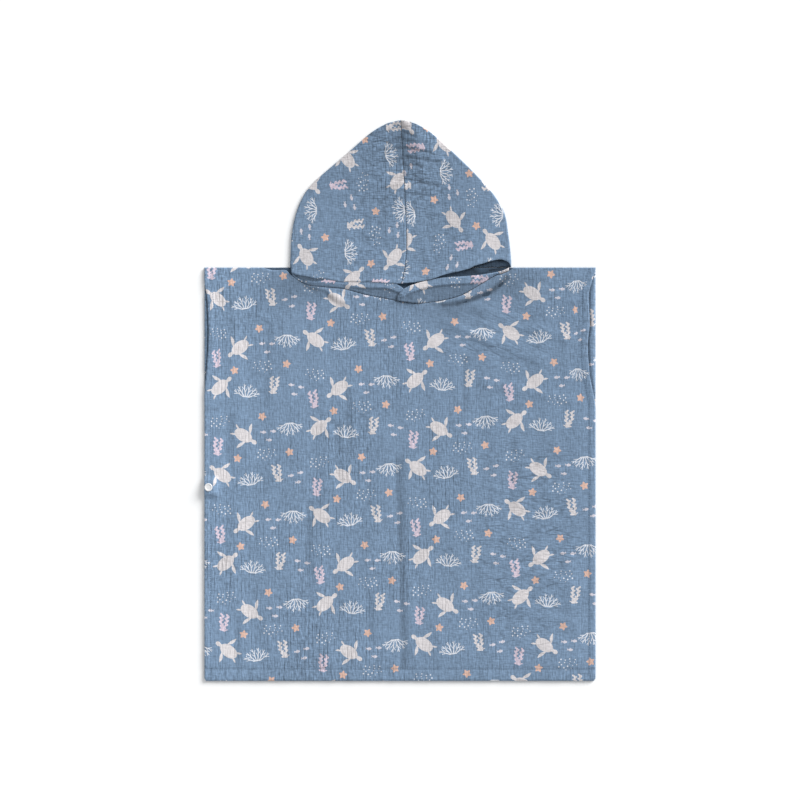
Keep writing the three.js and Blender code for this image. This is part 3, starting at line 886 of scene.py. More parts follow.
def rib_lines(tree, where, width, length, weight):
    """Straight upright creases side by side."""
    place = stretched(tree, where, 0, width, length)
    inputs = {"Vector": place, "Scale": math.pi / 10, "Distortion": 6.0, "Detail": 2.0, "Detail Scale": 0.5}
    ribs = add_node(tree, "ShaderNodeTexWave", inputs, bands_direction="X").outputs["Fac"]
    return fading_lines(tree, ribs, 2.6, flat_noise(tree, place, 0.7), 2.4, 0.72, weight)


PUCKER_WIDTH = 0.0022
PUCKER_LENGTH = 0.009
LEAST_PUCKERS = 0.35


def fine_puckers(tree, where, turn, weight, least):
    """Small ridges and troughs in one direction, above and below 0."""
    noise = flat_noise(tree, stretched(tree, where, turn, PUCKER_WIDTH, PUCKER_LENGTH), 1.0)
    raised = maths(tree, "ADD", noise, -0.5)
    return maths(tree, "MULTIPLY", raised, maths(tree, "ADD", weight, least))


def woven(tree, where, pitch):
    """The yarns of a plain weave: 1 along the top of a yarn and 0 in the gaps."""
    inputs = {
        "Vector": where, "Scale": 2 * math.pi / (20 * pitch), "Distortion": 1.2, "Detail": 1.0,
        "Detail Scale": 0.6,
    }
    warp, weft = (
        add_node(tree, "ShaderNodeTexWave", inputs, bands_direction=direction).outputs["Fac"]
        for direction in "XY"
    )
    return maths(tree, "MAXIMUM", warp, weft)


def gauze(name, colour, settings, depth=1.0):
    """Printed double gauze: woven yarns, fine creases, a soft nap, uneven dyeing, painted shade and light."""
    material, tree, shader = new_material(name)
    where = tree.nodes.new("ShaderNodeTexCoord").outputs["Object"]
    crinkle = add_node(tree, "ShaderNodeVertexColor", layer_name="crinkle").outputs
    upright, slanted, level = add_node(tree, "ShaderNodeSeparateColor", {0: crinkle["Color"]}).outputs
    across, aslant = math.pi / 2, math.pi / 2 + SLANT
    ribs = rib_lines(tree, where, 0.0058, 0.024, upright)
    slanted_lines = crease_lines(tree, where, aslant, 0.0095, 0.034, slanted)
    level_lines = crease_lines(tree, where, across, 0.0072, 0.026, level)
    lines = maths(tree, "MAXIMUM", maths(tree, "MAXIMUM", ribs, slanted_lines), level_lines)
    upright_puckers = fine_puckers(tree, where, 0, upright, LEAST_PUCKERS)
    level_puckers = fine_puckers(tree, where, across, level, LEAST_PUCKERS)
    puckers = maths(tree, "ADD", upright_puckers, level_puckers)
    puckers = maths(tree, "ADD", puckers, fine_puckers(tree, where, aslant, slanted, 0))
    weave = woven(tree, where, settings.thread_pitch)

    printing = add_node(tree, "ShaderNodeVertexColor", layer_name="print_and_shade_colour").outputs
    ground = blended(tree, printing["Alpha"], tone(colour), printing["Color"])
    patches = add_node(
        tree, "ShaderNodeTexNoise", {"Vector": where, "Scale": 14.0, "Detail": 3.0, "Roughness": 0.6},
    )
    mottled = maths(tree, "MULTIPLY_ADD", patches.outputs[0], 0.20, 0.90)
    on_print = maths(tree, "MULTIPLY_ADD", printing["Alpha"], -0.5, 0.95)
    # Uneven dye from the mottle, plus painted light and shade on the puckers: lighter on their ridges, darker
    # in their troughs
    dye_and_pucker_shade = maths(tree, "MULTIPLY_ADD", puckers, on_print, mottled)
    # The crease lines darken the colour: painted shade in the creases
    painted_crease_shade = maths(tree, "MULTIPLY_ADD", lines, -0.62, 1.0)
    # The alpha of the crinkle attribute is painted shade, and painted light below 0
    painted_shade = maths(tree, "MULTIPLY_ADD", crinkle["Alpha"], -0.6, 1.0)
    yarns = maths(tree, "MULTIPLY_ADD", weave, 0.14, 0.90)
    painted_crease_and_fold_shade = maths(tree, "MULTIPLY", painted_crease_shade, painted_shade)
    darkness = maths(tree, "MULTIPLY", maths(tree, "MULTIPLY", dye_and_pucker_shade, painted_crease_and_fold_shade), yarns)
    shaded = add_node(tree, "ShaderNodeVectorMath", {0: ground, "Scale": darkness}, operation="SCALE")

    relief = bump(tree, lines, 0.75, 0.0007 * depth, invert=True)
    relief = bump(tree, puckers, 0.8, 0.0006, {"Normal": relief})
    relief = bump(tree, weave, 0.35, 0.00012, {"Normal": relief})
    set_inputs(tree, shader, {
        "Base Color": shaded.outputs[0], "Normal": relief,
        "Roughness": maths(tree, "MULTIPLY_ADD", weave, -0.08, 0.95),
        "Specular IOR Level": 0.2, "Sheen Weight": 0.12, "Sheen Roughness": 0.6,
    })
    return material


def cotton_thread(settings):
    material, tree, shader = new_material("cotton_thread")
    where = tree.nodes.new("ShaderNodeTexCoord").outputs["Object"]
    inputs = {"Vector": where, "Scale": 900.0, "Distortion": 2.0}
    twist = add_node(tree, "ShaderNodeTexWave", inputs, bands_direction="DIAGONAL").outputs["Fac"]
    # Painted light and shade along the twist: a darker and a lighter copy of the thread colour
    dark, light = tone(settings.thread_colour, 0.8), tone(settings.thread_colour, 1.15)
    set_inputs(tree, shader, {
        "Base Color": blended(tree, twist, dark, light), "Normal": bump(tree, twist, 0.5, 0.0001),
        "Roughness": 0.8,
    })
    return material


def snap_plastic(settings):
    material, tree, shader = new_material("snap_plastic")
    where = tree.nodes.new("ShaderNodeTexCoord").outputs["Object"]
    mottle = add_node(tree, "ShaderNodeTexNoise", {"Vector": where, "Scale": 900.0, "Detail": 2.0}).outputs[0]
    set_inputs(tree, shader, {
        "Base Color": blended(tree, mottle, tone(settings.snap_colour), tone(settings.snap_colour, 1.05)),
        "Roughness": maths(tree, "MULTIPLY_ADD", mottle, 0.16, 0.24),
        "Normal": bump(tree, mottle, 0.12, 0.0001),
        "Subsurface Weight": 0.1, "Subsurface Radius": (0.001, 0.001, 0.001),
    })
    return material


def finished(piece, materials):
    for material in materials:
        piece.data.materials.append(material)
    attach(piece, "root")


def cloth_materials(settings):
    """The printed side and the inside of the gauze, made once."""
    made = bpy.data.materials.get
    outside = made("printed_gauze") or gauze("printed_gauze", settings.cloth_colour, settings)
    # The inside gauze is dark to paint the shade inside the hood
    inside = made("gauze_inside") or gauze("gauze_inside", settings.shaded_inside_colour, settings, 1.6)
    return [outside, inside]


# Body

STITCH_GROOVE = 0.8
HEM_PUCKER = 0.5
THINNEST = 0.4


def over_snap(x, y):
    """1 where the snap holds the cloth, falling to 0 around it."""
    across = fade(np.abs(x - SNAP_X), SNAP_FLAT, SNAP_SLOPE)
    return across * fade(np.abs(y - SNAP_Y), SNAP_FLAT, SNAP_SLOPE)


def body_hem(edge_distance, y):
    """Extra thickness where the cloth is turned in at the sides and the bottom."""
    side = fade(edge_distance, SIDE_HEM - HEM_STEP, SIDE_HEM)
    bottom = fade(y - HEM_Y, BOTTOM_HEM - HEM_STEP, BOTTOM_HEM)
    return HEM_EXTRA * np.maximum(side, bottom)


def front_top(x):
    in_neck = (x >= NECKLINE[0][0]) & (x <= NECKLINE[-1][0])
    return np.where(in_neck, along(NECKLINE, x) - SEAM_GAP, SHOULDER_Y)


def front_place(x, y):
    """Where a place of the flat front lies, and the height of its underside."""
    edge_distance = HALF_WIDTH - np.abs(x)
    pull = arm_opening(x, y) * fade(edge_distance, SIDE_HEM, ARM_PULL_REACH)
    pulled = x - np.sign(x) * pull
    from_edge = np.minimum(np.minimum(edge_distance, y - HEM_Y), np.maximum(front_top(x) - y, 0))
    inside = 1 - fade(from_edge, 0, FRONT_LOFT_REACH)
    folds = fold_height(RAISED_FOLDS, pulled, y) + fold_height(NECK_CREASES, pulled, y)
    air = inside * (FRONT_LOFT + wave_height(pulled, y)) + folds
    arm_lift = ARM_EDGE_LIFT * pull * fade(edge_distance, 0, ARM_PULL_REACH)
    base = SECOND_LAYER + lerp(np.maximum(air, 0) + arm_lift, FRONT_SNAP_LIFT, over_snap(x, y))
    return pulled, base


def front_outer(settings):
    def place(x, y):
        pulled, base = front_place(x, y)
        thick = CLOTH + body_hem(HALF_WIDTH - np.abs(x), y)
        calm = 1 - np.maximum(0.8 * over_snap(x, y), 0.75 * np.minimum(fold_height(ROLLS, pulled, y), 1))
        crinkle = crinkle_height(settings, x, y, "front") * calm
        groove = STITCH_GROOVE * fade(from_bottom_stitches(y), 0.5, 2.8)
        groove += 0.5 * STITCH_GROOVE * fade(from_side_stitches(x), 0.4, 2.4)
        in_hem = fade(y - HEM_Y, BOTTOM_HEM - 4, BOTTOM_HEM + 5)
        puckers = in_hem * HEM_PUCKER * creases(x, y, 5.5, 0, 91)
        sunk = 0.45 * fold_height(NECK_CREASES, pulled, y)
        wall = np.maximum(thick + crinkle + puckers - groove + sunk, THINNEST)
        return np.stack([pulled, y, base + wall], 1)
    return place


def front_inner(x, y):
    pulled, base = front_place(x, y)
    return np.stack([pulled, y, base], 1)


CORNER_CUT = 2.5
CORNER_RISE = 4


def body_outline(top_line):
    """Outline of a body panel, from the bottom left corner round, with its corners cut."""
    inner = HALF_WIDTH - CORNER_CUT
    rise_y = HEM_Y + CORNER_RISE
    bottom = [(-inner, HEM_Y), (inner, HEM_Y), (HALF_WIDTH, rise_y), (HALF_WIDTH, top_line[-1][1])]
    left = [(-HALF_WIDTH, top_line[0][1]), (-HALF_WIDTH, rise_y), (-inner, HEM_Y)]
    top = [*top_line[::-1], left[0]]
    return np.concatenate([polyline(bottom, 3), polyline(top, 2.4), polyline(left, 3)])


class MESH_OT_poncho_front(bpy.types.Operator):
    """Make the printed front with its crinkle, hems and folds."""

    bl_idname = "mesh.poncho_front"
    bl_label = "Poncho Front"

    def execute(self, context):
        settings = context.scene.poncho
        neck_left, neck_right = NECKLINE[0][0], NECKLINE[-1][0]
        hood_corner = [NECKLINE[2][0], NECKLINE[3][0]]
        x = np.unique(np.concatenate([np.linspace(neck_left, neck_right, 160), hood_corner]))
        neck = list(zip(x, along(NECKLINE, x) - SEAM_GAP))
        outline = body_outline([
            (-HALF_WIDTH, SHOULDER_Y), (neck_left - 1, SHOULDER_Y), *neck, (neck_right + 1, SHOULDER_Y),
            (HALF_WIDTH, SHOULDER_Y),
        ])
        low, high = outline.min(0), outline.max(0)
        points, coarse = (
            grid[grid[:, 1] < front_top(grid[:, 0])]
            for grid in (staggered(low, high, settings.grid_pitch / MM), staggered(low, high, 14))
        )
        piece = shell(
            "gauze_front", outline, points, printed(settings, low, high, 2.0), coarse, [],
            front_outer(settings), front_inner, "front",
        )
        finished(piece, cloth_materials(settings))
        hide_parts("body_front")
        return {"FINISHED"}


ARM_ROLL = 1.9
ARM_ROLL_IN = 0.9
ARM_STRIP = 16
PRINTED_EDGE = 24
OVER_EDGE = 9


class MESH_OT_poncho_back(bpy.types.Operator):
    """Make the printed back, flat where it rests."""

    bl_idname = "mesh.poncho_back"
    bl_label = "Poncho Back"

    def execute(self, context):
        settings = context.scene.poncho
        outline = body_outline([(-HALF_WIDTH, SHOULDER_Y), (HALF_WIDTH, SHOULDER_Y)])
        low, high = outline.min(0), outline.max(0)
        points = staggered(low, high, 11)
        around_snap = staggered((-299, SNAP_Y - 20), (-273, SNAP_Y + 20), 3)
        points = np.concatenate([points[over_snap(*points.T) == 0], around_snap])
        strips = [
            staggered((left, -20), (left + ARM_STRIP, 200), 2.6)
            for left in (-HALF_WIDTH, HALF_WIDTH - ARM_STRIP)
        ]
        strips.append(staggered((20, 178), (174, SHOULDER_Y), 2.3))

        def outer(x, y):
            arm = arm_opening(x, y) - ARM_ROLL_IN
            share = np.clip((HALF_WIDTH - np.abs(x)) / np.maximum(arm, 0.1), 0, 1)
            roll = ARM_ROLL * fade(-arm, -3, 0) * np.sin(np.pi * share) ** 0.7
            height = CLOTH + roll + mouth_wrinkle(x, y) + BACK_SNAP_LIFT * over_snap(x, y)
            return np.stack([x, y, height], 1)

        def inner(x, y):
            return np.stack([x, y, BACK_SNAP_LIFT * over_snap(x, y)], 1)

        whole = [
            shape for shape in printed(settings, low, high, 0.0, (61, -33))
            if np.all(shape[0] > low + 3) and np.all(shape[0] < high - 3)
        ]
        # Under the front and inside the hood the back's top takes the dark inside colour: the unprinted side,
        # with painted shade
        edge, foot, head = HALF_WIDTH - PRINTED_EDGE, HEM_Y - OVER_EDGE, SHOULDER_Y + OVER_EDGE
        plain = np.array([(-edge, foot), (edge, foot), (edge, head), (-edge, head)])
        shapes = printed(settings, low, high, 2.0, (37, 20))
        shapes.append((plain, settings.shaded_inside_colour, True))
        piece = shell(
            "gauze_back", outline, np.concatenate([points, *strips]), shapes, points, whole, outer, inner,
            "back",
        )
        outside = cloth_materials(settings)[0]
        finished(piece, [outside, outside])
        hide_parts("body_back")
        return {"FINISHED"}


# Hood: its cloth is laid out flat as distance from the crown seam, over the fold and back below

def crown_seam(side, y):
    return along(CROWN_SEAM, y) + side * SEAM_GAP / 2


def hood_gap(side, x, y, across):
    near_brim = fade(y - along(BRIM, x), 0, BRIM_REACH) ** 2
    mouth = MOUTH_GAP if side > 0 else THIRD_LAYER - CLOTH
    loft = HOOD_LOFT * np.sin(np.pi * across) + fold_height(HOOD_FOLDS, x, y)
    return lerp(np.maximum(HOOD_FOLD_GAP + loft, SEAM_GAP), mouth, near_brim)


def hood_stations(side, y):
    """Distances from the crown seam to the fold's start and end, the fold's gap and its middle in x."""
    edge = side * along(HOOD_OUTLINE, y, column=1 if side < 0 else 2)
    gap = hood_gap(side, edge, y, np.ones_like(y))
    turn = edge - side * (CLOTH + gap / 2)
    start = side * (turn - crown_seam(side, y))
    return start, start + np.pi * (CLOTH + gap / 2), gap, turn


BRIM_SWAY = 1.1
DEEPEST_PUCKER = -0.9


def hood_place(side, settings, inner):
    """The place in space of a point of the flat hood cloth, on its printed or its inner side."""
    def place(u, y):
        start, end, gap, turn = hood_stations(side, y)
        across = np.clip(u / start, 0, 1)
        x = crown_seam(side, y) + side * u
        upper_gap = lerp(hood_gap(side, x, y, across), gap, across ** 4)
        brim_fade = fade(y - along(BRIM, x), 0, BRIM_REACH)
        sway = BRIM_SWAY * brim_fade ** 2 * soft_noise(x / 13, y * 0, 5)
        upper = np.stack([x, y + sway, upper_gap + (CLOTH if inner else 2 * CLOTH)], 1)
        angle = np.clip((u - start) / (end - start), 0, 1) * np.pi
        radius = gap / 2 + (0 if inner else CLOTH)
        fold_x = turn + side * np.sin(angle) * radius
        fold = np.stack([fold_x, y, CLOTH + gap / 2 + np.cos(angle) * radius], 1)
        back = turn - side * (u - end)
        under = np.stack([back, y, np.zeros_like(y)], 1)
        if inner:
            under[:, 2] += CLOTH + mouth_wrinkle(back, y)
        else:
            puckers = np.maximum(fold_height(CROWN_PUCKERS, x, y), DEEPEST_PUCKER)
            upper[:, 2] += (crinkle_height(settings, x, y, "hood") + puckers) * fade(across, 0.9, 1)
        return np.where((u < start)[:, None], upper, np.where((u < end)[:, None], fold, under))
    return place


def hood_outline(side):
    """Outline of the flat hood cloth: the crown seam, the brim, across the fold, the back seam."""
    end_y = SHOULDER_Y + SEAM_GAP
    seam_foot = float(along(BRIM, crown_seam(side, 180.0)))
    seam_y = np.linspace(CROWN_Y, seam_foot, 90)[:-1]
    down = np.stack([np.zeros_like(seam_y), seam_y], 1)
    start, end, _, turn = (float(v[0]) for v in hood_stations(side, np.array([end_y])))
    brim_x = np.linspace(crown_seam(side, seam_foot), turn, 80)
    brim_y = along(BRIM, brim_x)
    upper = np.stack([side * (brim_x - crown_seam(side, brim_y)), brim_y], 1)
    arc = np.linspace(0, 1, 7)[1:]
    last_u, last_y = upper[-1]
    fold = np.stack([lerp(last_u, end, arc), lerp(last_y, end_y, np.minimum(2 * arc, 1))], 1)
    under_u = np.linspace(end, end + start, 60)[1:]
    under = np.stack([under_u, np.full_like(under_u, end_y)], 1)
    up_y = np.linspace(end_y, CROWN_Y, 90)[1:]
    up_start, up_end, _, _ = hood_stations(side, up_y)
    up = np.stack([up_start + up_end, up_y], 1)
    return np.concatenate([down, upper, fold, under, up])


def fold_lines(side, pitch, steps):
    """Lines along the fold of the flat hood cloth, one for each step of its turn."""
    y = np.arange(SHOULDER_Y + 8, CROWN_Y - 2, pitch)
    start, end, _, _ = hood_stations(side, y)
    return [np.stack([lerp(start, end, step / steps), y], 1) for step in range(steps + 1)]


MOUTH_TOP = 246


def hood_points(side, pitch, under_pitch, mouth_pitch):
    """Points of the flat hood cloth either side of the fold, closer together in the mouth."""
    placed = []
    rows = np.arange(180, CROWN_Y, pitch * 0.9)
    for row, (y, start) in enumerate(zip(rows, hood_stations(side, rows)[0])):
        u = np.arange(pitch / 2 * (1 + row % 2), start - 0.4, pitch)
        u = u[y > along(BRIM, crown_seam(side, y) + side * u)]
        placed.append(np.stack([u, np.full_like(u, y)], 1))
    rows = np.arange(SHOULDER_Y + 2, CROWN_Y, mouth_pitch)
    start, end, _, _ = hood_stations(side, rows)
    skipped = max(1, round(under_pitch / mouth_pitch))
    for row, y in enumerate(rows):
        if y < MOUTH_TOP or row % skipped == 0:
            step = mouth_pitch if y < MOUTH_TOP else under_pitch
            u = np.arange(end[row] + step, end[row] + start[row], step)
            placed.append(np.stack([u, np.full_like(u, y)], 1))
    return np.concatenate(placed)


HOOD_REACH = 175
PRINT_FOOT = 170
PRINT_TOP = CROWN_Y + 5
PAST_CLOTH = 500
CLEAR_OF_FOLD = 18
PAST_SEAM = 20


def hood_print(side, settings, turn, shift):
    """The print of the flat hood cloth. It starts anew past the fold and isn't drawn out there."""
    def under_layer(middle):
        fold_x = float(hood_stations(side, middle[1:])[3][0])
        return side * (fold_x - middle[0]) > CLEAR_OF_FOLD and side * middle[0] > -PAST_SEAM

    shapes = printed(settings, (0, PRINT_FOOT), (HOOD_REACH, CROWN_Y), turn, shift)
    y = np.linspace(PRINT_FOOT, PRINT_TOP, 60)
    past_fold = np.stack([hood_stations(side, y)[1], y], 1)
    plain = np.concatenate([past_fold, [(PAST_CLOTH, PRINT_TOP), (PAST_CLOTH, PRINT_FOOT)]])
    shapes.append((plain, settings.cloth_colour, False))
    low, high = (-HOOD_REACH, 190), (HOOD_REACH, CROWN_Y)
    for outline, colour, _ in printed(settings, low, high, turn, shift, under_layer):
        x, y = outline.T
        _, end, _, fold_x = hood_stations(side, y)
        shapes.append((np.stack([end + side * (fold_x - x), y], 1), colour, True))
    return shapes


class MESH_OT_poncho_hood(bpy.types.Operator):
    """Make the two printed hood sides, each folded over from its upper to its under layer."""

    bl_idname = "mesh.poncho_hood"
    bl_label = "Poncho Hood"

    def execute(self, context):
        settings = context.scene.poncho
        pitch = settings.grid_pitch / MM
        for side, word, shift in ((-1, "left", (40, 12)), (1, "right", (95, 70))):
            piece = shell(
                f"gauze_hood_{word}", hood_outline(side), hood_points(side, pitch, 12, 12),
                hood_print(side, settings, 90, shift), hood_points(side, 7, 8, 2.4), [],
                hood_place(side, settings, False), hood_place(side, settings, True), "hood",
                fold_lines(side, 0.9 * pitch, 8), fold_lines(side, 4, 5),
            )
            finished(piece, cloth_materials(settings))
            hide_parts(f"hood_{word}")
        return {"FINISHED"}


# Cheeks

FACE_HEM_RISE = 1.5
FACE_GROOVE = 0.35


def cheek_base(word, x, y, down):
    """Height of a cheek's underside. The right one crosses over the left one and is gathered."""
    if word == "left":
        return np.full_like(x, SECOND_LAYER)
    over = (THIRD_LAYER - SECOND_LAYER) * fade(x, 18, 48)
    lift = CHEEK_LIFT * (1 - fade(x, 60, 110)) * (1 - down)
    return SECOND_LAYER + over + np.maximum(lift + fold_height(CHEEK_GATHERS, x, y), 0)


def cheek_place(rim, word, settings, inner):
    """The place in space of a point of a flat cheek, on its printed or its inner side."""
    def place(x, y):
        top = along(rim, x)
        height = np.maximum(top - along(NECKLINE, x), 0.5)
        below = np.clip(top - y, 0, height)
        hem = np.minimum(FACE_HEM, 0.6 * height)
        base = cheek_base(word, x, y, below / height)
        if inner:
            return np.stack([x, y, base], 1)
        thick = CLOTH + FACE_HEM_RISE * fade(below, hem, hem + np.minimum(HEM_STEP, 0.1 * height))
        crinkle = 0.8 * crinkle_height(settings, x, y, "cheek")
        groove = FACE_GROOVE * fade(np.abs(below - hem + SIDE_STITCH_IN), 0.3, 1.6)
        return np.stack([x, y, base + thick + crinkle - groove], 1)
    return place


# A patch of painted shade where the left corner of the face edge curls over, a darkened copy of the cloth
# colour
SHADED_CORNER = [
    (-168, 200), (-160, 190), (-146, 184.5), (-130, 182.5), (-117, 184), (-112, 192), (-140, 196),
]
CORNER_SHADE_TONE = 0.42


class MESH_OT_poncho_cheeks(bpy.types.Operator):
    """Make the two cheeks between the face opening and the front's neckline."""

    bl_idname = "mesh.poncho_cheeks"
    bl_label = "Poncho Cheeks"

    def execute(self, context):
        settings = context.scene.poncho
        for rim, word, turn in ((LEFT_RIM, "left", 84), (RIGHT_RIM, "right", 96)):
            x = np.linspace(rim[0][0], rim[-1][0], 110)
            top = np.stack([x, along(rim, x)], 1)
            bottom = np.stack([x, along(NECKLINE, x)], 1)[::-1]
            outline = np.concatenate([top, bottom])
            low, high = outline.min(0), outline.max(0)
            points = staggered(low, high, 1.9)
            x, y = points.T
            points = points[(y < along(rim, x)) & (y > along(NECKLINE, x))]
            shapes = printed(settings, low, high, turn, (12, 5))
            if word == "left":
                # Painted shade at the left corner of the face edge
                corner_shade_colour = CORNER_SHADE_TONE * np.array(settings.cloth_colour)
                shapes.append((np.array(SHADED_CORNER), corner_shade_colour, True))
            piece = shell(
                f"gauze_cheek_{word}", outline, points, shapes, points[::5], [],
                cheek_place(rim, word, settings, False), cheek_place(rim, word, settings, True), "cheek",
            )
            finished(piece, cloth_materials(settings))
            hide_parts(f"hood_{word}_cheek")
        return {"FINISHED"}


# Stitching

def stitch_tree():
    """Geometry nodes that set small stitches along the edges of a mesh of paths."""
    tree = bpy.data.node_groups.new("thread_stitches", "GeometryNodeTree")
    for name, kind in (
        ("Paths", "Geometry"), ("Stitch Length", "Float"), ("Stitch Pitch", "Float"),
        ("Thread Width", "Float"), ("Thread", "Material"),
    ):
        tree.interface.new_socket(name, in_out="INPUT", socket_type="NodeSocket" + kind)
    tree.interface.new_socket("Stitches", in_out="OUTPUT", socket_type="NodeSocketGeometry")
    given = tree.nodes.new("NodeGroupInput").outputs
    width = given["Thread Width"]
    curve = add_node(tree, "GeometryNodeMeshToCurve", {"Mesh": given["Paths"]})
    spaced = add_node(
        tree, "GeometryNodeResampleCurve",
        {"Curve": curve.outputs["Curve"], "Length": given["Stitch Pitch"]}, mode="LENGTH",
    )
    bead = add_node(tree, "GeometryNodeMeshUVSphere", {"Segments": 6, "Rings": 4, "Radius": 0.5})
    size = add_node(tree, "ShaderNodeCombineXYZ", {"X": given["Stitch Length"], "Y": width, "Z": width})
    ahead = tree.nodes.new("GeometryNodeInputTangent").outputs[0]
    aim = add_node(tree, "FunctionNodeAlignRotationToVector", {"Vector": ahead}, axis="X")
    placed = add_node(tree, "GeometryNodeInstanceOnPoints", {
        "Points": spaced.outputs["Curve"], "Instance": bead.outputs["Mesh"],
        "Rotation": aim.outputs["Rotation"], "Scale": size.outputs[0],
    })
    real = add_node(tree, "GeometryNodeRealizeInstances", {"Geometry": placed.outputs["Instances"]})
    smooth = add_node(tree, "GeometryNodeSetShadeSmooth", {"Geometry": real.outputs["Geometry"]})
    coloured = add_node(tree, "GeometryNodeSetMaterial", {
        "Geometry": smooth.outputs["Geometry"], "Material": given["Thread"],
    })
    add_node(tree, "NodeGroupOutput", {"Stitches": coloured.outputs["Geometry"]})
    return tree


STITCH_LIFT = 0.12


def seam_paths(settings):
    """Lines of stitching as points in space, in millimetres."""
    front = front_outer(settings)
    hem_x = np.linspace(-HALF_WIDTH + 2, HALF_WIDTH - 2, 240)
    paths = [front(hem_x, np.full_like(hem_x, HEM_Y + BOTTOM_HEM - BOTTOM_STITCH_IN))]
    side_y = np.linspace(HEM_Y + 2, SHOULDER_Y - 2, 240)
    for side in (-1, 1):
        x = np.full_like(side_y, side * (HALF_WIDTH - SIDE_HEM + SIDE_STITCH_IN))
        paths.append(front(x, side_y))
    for rim, word in ((LEFT_RIM, "left"), (RIGHT_RIM, "right")):
        x = np.linspace(rim[0][0] + 5, rim[-1][0] - 5, 90)
        hem = np.minimum(FACE_HEM, 0.6 * (along(rim, x) - along(NECKLINE, x)))
        paths.append(cheek_place(rim, word, settings, False)(x, along(rim, x) - hem + SIDE_STITCH_IN))
    return [path + (0, 0, STITCH_LIFT) for path in paths]


class MESH_OT_poncho_stitching(bpy.types.Operator):
    """Sew the hems of the front and of the face opening."""

    bl_idname = "mesh.poncho_stitching"
    bl_label = "Poncho Stitching"

    def execute(self, context):
        settings = context.scene.poncho
        vertices, edges = [], []
        for path in seam_paths(settings):
            first = len(vertices)
            vertices += (path * MM).tolist()
            edges += [(first + i, first + i + 1) for i in range(len(path) - 1)]
        lines = bpy.data.meshes.new("seam_lines")
        lines.from_pydata(vertices, edges, [])
        carrier = linked("seam_lines", lines)
        modifier = carrier.modifiers.new("Stitches", "NODES")
        modifier.node_group = stitch_tree()
        values = {
            "Stitch Length": settings.stitch_length, "Stitch Pitch": settings.stitch_pitch,
            "Thread Width": settings.thread_width, "Thread": cotton_thread(settings),
        }
        for item in modifier.node_group.interface.items_tree:
            if item.name in values:
                modifier[item.identifier] = values[item.name]
        evaluated = carrier.evaluated_get(context.evaluated_depsgraph_get())
        mesh = bpy.data.meshes.new_from_object(evaluated)
        if not mesh.polygons:
            raise RuntimeError("the stitch nodes made no stitches")
        mesh.name = "hem_stitching"
        bpy.data.objects.remove(carrier)
        finished(linked("hem_stitching", mesh), [])
        return {"FINISHED"}


# Press snap: profiles as shares of the radius and of the height

CAP_PROFILE = [
    (0, 0), (0.97, 0), (1, 0.12), (1, 0.42), (0.985, 0.66), (0.94, 0.86), (0.87, 0.97), (0.8, 1),
    (0.73, 0.97), (0.68, 0.88), (0.64, 0.78), (0.58, 0.72), (0.45, 0.7), (0.25, 0.7), (0.1, 0.7), (0, 0.7),
]
DISC_PROFILE = [(0, 0), (0.95, 0), (1, 0.15), (1, 0.85), (0.95, 1), (0.5, 1), (0.44, 0.8), (0, 0.8)]
SNAP_PIECES = [
    ("snap_front_cap", CAP_PROFILE, True), ("snap_socket", DISC_PROFILE, True),
    ("snap_stud", DISC_PROFILE, True), ("snap_back_cap", CAP_PROFILE, False),
]
SNAP_SIDES = 56


def lathe(name, low, high, profile, up):
    """A round piece that fills a box, turned from a profile."""
    middle = (low + high) / 2
    height = high.z - low.z
    turns = [2 * math.pi * step / SNAP_SIDES for step in range(SNAP_SIDES)]
    vertices, faces, rings = [], [], []
    for reach, climb in profile:
        radius = (high.x - low.x) / 2 * reach
        z = low.z + height * climb if up else high.z - height * climb
        first = len(vertices)
        if reach == 0:
            rings.append([first] * SNAP_SIDES)
            vertices.append((middle.x, middle.y, z))
            continue
        rings.append(list(range(first, first + SNAP_SIDES)))
        vertices += [(middle.x + radius * math.cos(a), middle.y + radius * math.sin(a), z) for a in turns]
    for ring, above in zip(rings[:-1], rings[1:]):
        for step in range(SNAP_SIDES):
            after = (step + 1) % SNAP_SIDES
            corners = list(dict.fromkeys([ring[step], ring[after], above[after], above[step]]))
            faces.append(corners if up else corners[::-1])
    mesh = bpy.data.meshes.new(name)
    mesh.from_pydata(vertices, [], faces)
    mesh.polygons.foreach_set("use_smooth", [True] * len(faces))
    mesh.update()
    return linked(name, mesh)


class MESH_OT_poncho_snap(bpy.types.Operator):
    """Make the four moulded pieces of the press snap."""

    bl_idname = "mesh.poncho_snap"
    bl_label = "Poncho Snap"

    def execute(self, context):
        plastic = snap_plastic(context.scene.poncho)
        for node, profile, up in SNAP_PIECES:
            piece = lathe(node + "_moulded", *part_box(node), profile, up)
            finished(piece, [plastic])
            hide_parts(node)
        return {"FINISHED"}


# Stage, in metres

TABLE_HALF = 4.0
TABLE_DROP = 0.0001
TABLE_COLOUR = (0.93, 0.93, 0.93, 1)
SUN_FROM = (0.70, 0.62, 0.36)
SUN_STRENGTH = 4.8
SUN_SPREAD = math.radians(36)
SKY_COLOUR = (0.97, 0.985, 1, 1)
SKY_STRENGTH = 0.62
CAMERA_HEIGHT = 6.0
CAMERA_SHIFT = 0.0008
PICTURE_WIDTH = 1.2276


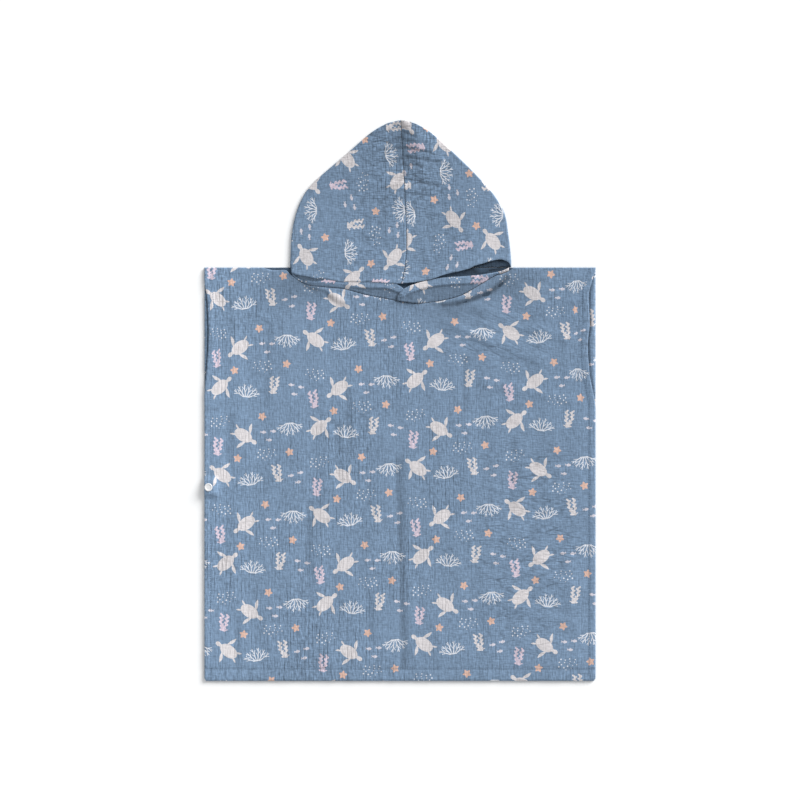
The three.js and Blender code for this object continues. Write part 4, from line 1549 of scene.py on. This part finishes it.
class SCENE_OT_poncho_stage(bpy.types.Operator):
    """Set the pale tabletop, the soft light and the camera straight above."""

    bl_idname = "scene.poncho_stage"
    bl_label = "Poncho Stage"

    def execute(self, context):
        scene = context.scene
        scene.view_settings.view_transform = "Standard"
        mesh = bpy.data.meshes.new("tabletop")
        corners = ((-1, -1), (1, -1), (1, 1), (-1, 1))
        table = [(TABLE_HALF * x, TABLE_HALF * y, -TABLE_DROP) for x, y in corners]
        mesh.from_pydata(table, [], [(0, 1, 2, 3)])
        material, tree, shader = new_material("pale_table")
        set_inputs(tree, shader, {"Base Color": TABLE_COLOUR, "Roughness": 0.9, "Specular IOR Level": 0.0})
        mesh.materials.append(material)
        linked("tabletop", mesh)

        world = bpy.data.worlds.new("studio")
        world.use_nodes = True
        backdrop = world.node_tree.nodes["Background"]
        set_inputs(world.node_tree, backdrop, {"Color": SKY_COLOUR, "Strength": SKY_STRENGTH})
        scene.world = world

        key = bpy.data.lights.new("key", "SUN")
        key.energy = SUN_STRENGTH
        key.angle = SUN_SPREAD
        linked("key", key).rotation_euler = Vector(SUN_FROM).to_track_quat("Z", "Y").to_euler()

        camera = bpy.data.cameras.new("camera")
        camera.lens = camera.sensor_width * CAMERA_HEIGHT / PICTURE_WIDTH
        camera.clip_end = 50
        scene.camera = linked("camera", camera)
        scene.camera.location = (0, CAMERA_SHIFT, CAMERA_HEIGHT)
        return {"FINISHED"}


class VIEW3D_PT_poncho(bpy.types.Panel):
    """Lists the poncho's settings and the operators that make its pieces."""

    bl_label = "Poncho"
    bl_space_type = "VIEW_3D"
    bl_region_type = "UI"
    bl_category = "Poncho"

    def draw(self, context):
        for name in PonchoSettings.__annotations__:
            self.layout.prop(context.scene.poncho, name)
        for operator in OPERATORS:
            self.layout.operator(operator.bl_idname)


OPERATORS = (
    MESH_OT_poncho_back, MESH_OT_poncho_front, MESH_OT_poncho_hood, MESH_OT_poncho_cheeks,
    MESH_OT_poncho_stitching, MESH_OT_poncho_snap, SCENE_OT_poncho_stage,
)


def register():
    for each in (PonchoSettings, *OPERATORS, VIEW3D_PT_poncho):
        bpy.utils.register_class(each)
    bpy.types.Scene.poncho = bpy.props.PointerProperty(type=PonchoSettings)


def unregister():
    del bpy.types.Scene.poncho
    for each in reversed((PonchoSettings, *OPERATORS, VIEW3D_PT_poncho)):
        bpy.utils.unregister_class(each)


def main():
    register()
    bpy.ops.mesh.poncho_back()
    bpy.ops.mesh.poncho_front()
    bpy.ops.mesh.poncho_hood()
    bpy.ops.mesh.poncho_cheeks()
    bpy.ops.mesh.poncho_stitching()
    bpy.ops.mesh.poncho_snap()
    bpy.ops.scene.poncho_stage()


if __name__ == "__main__":
    main()
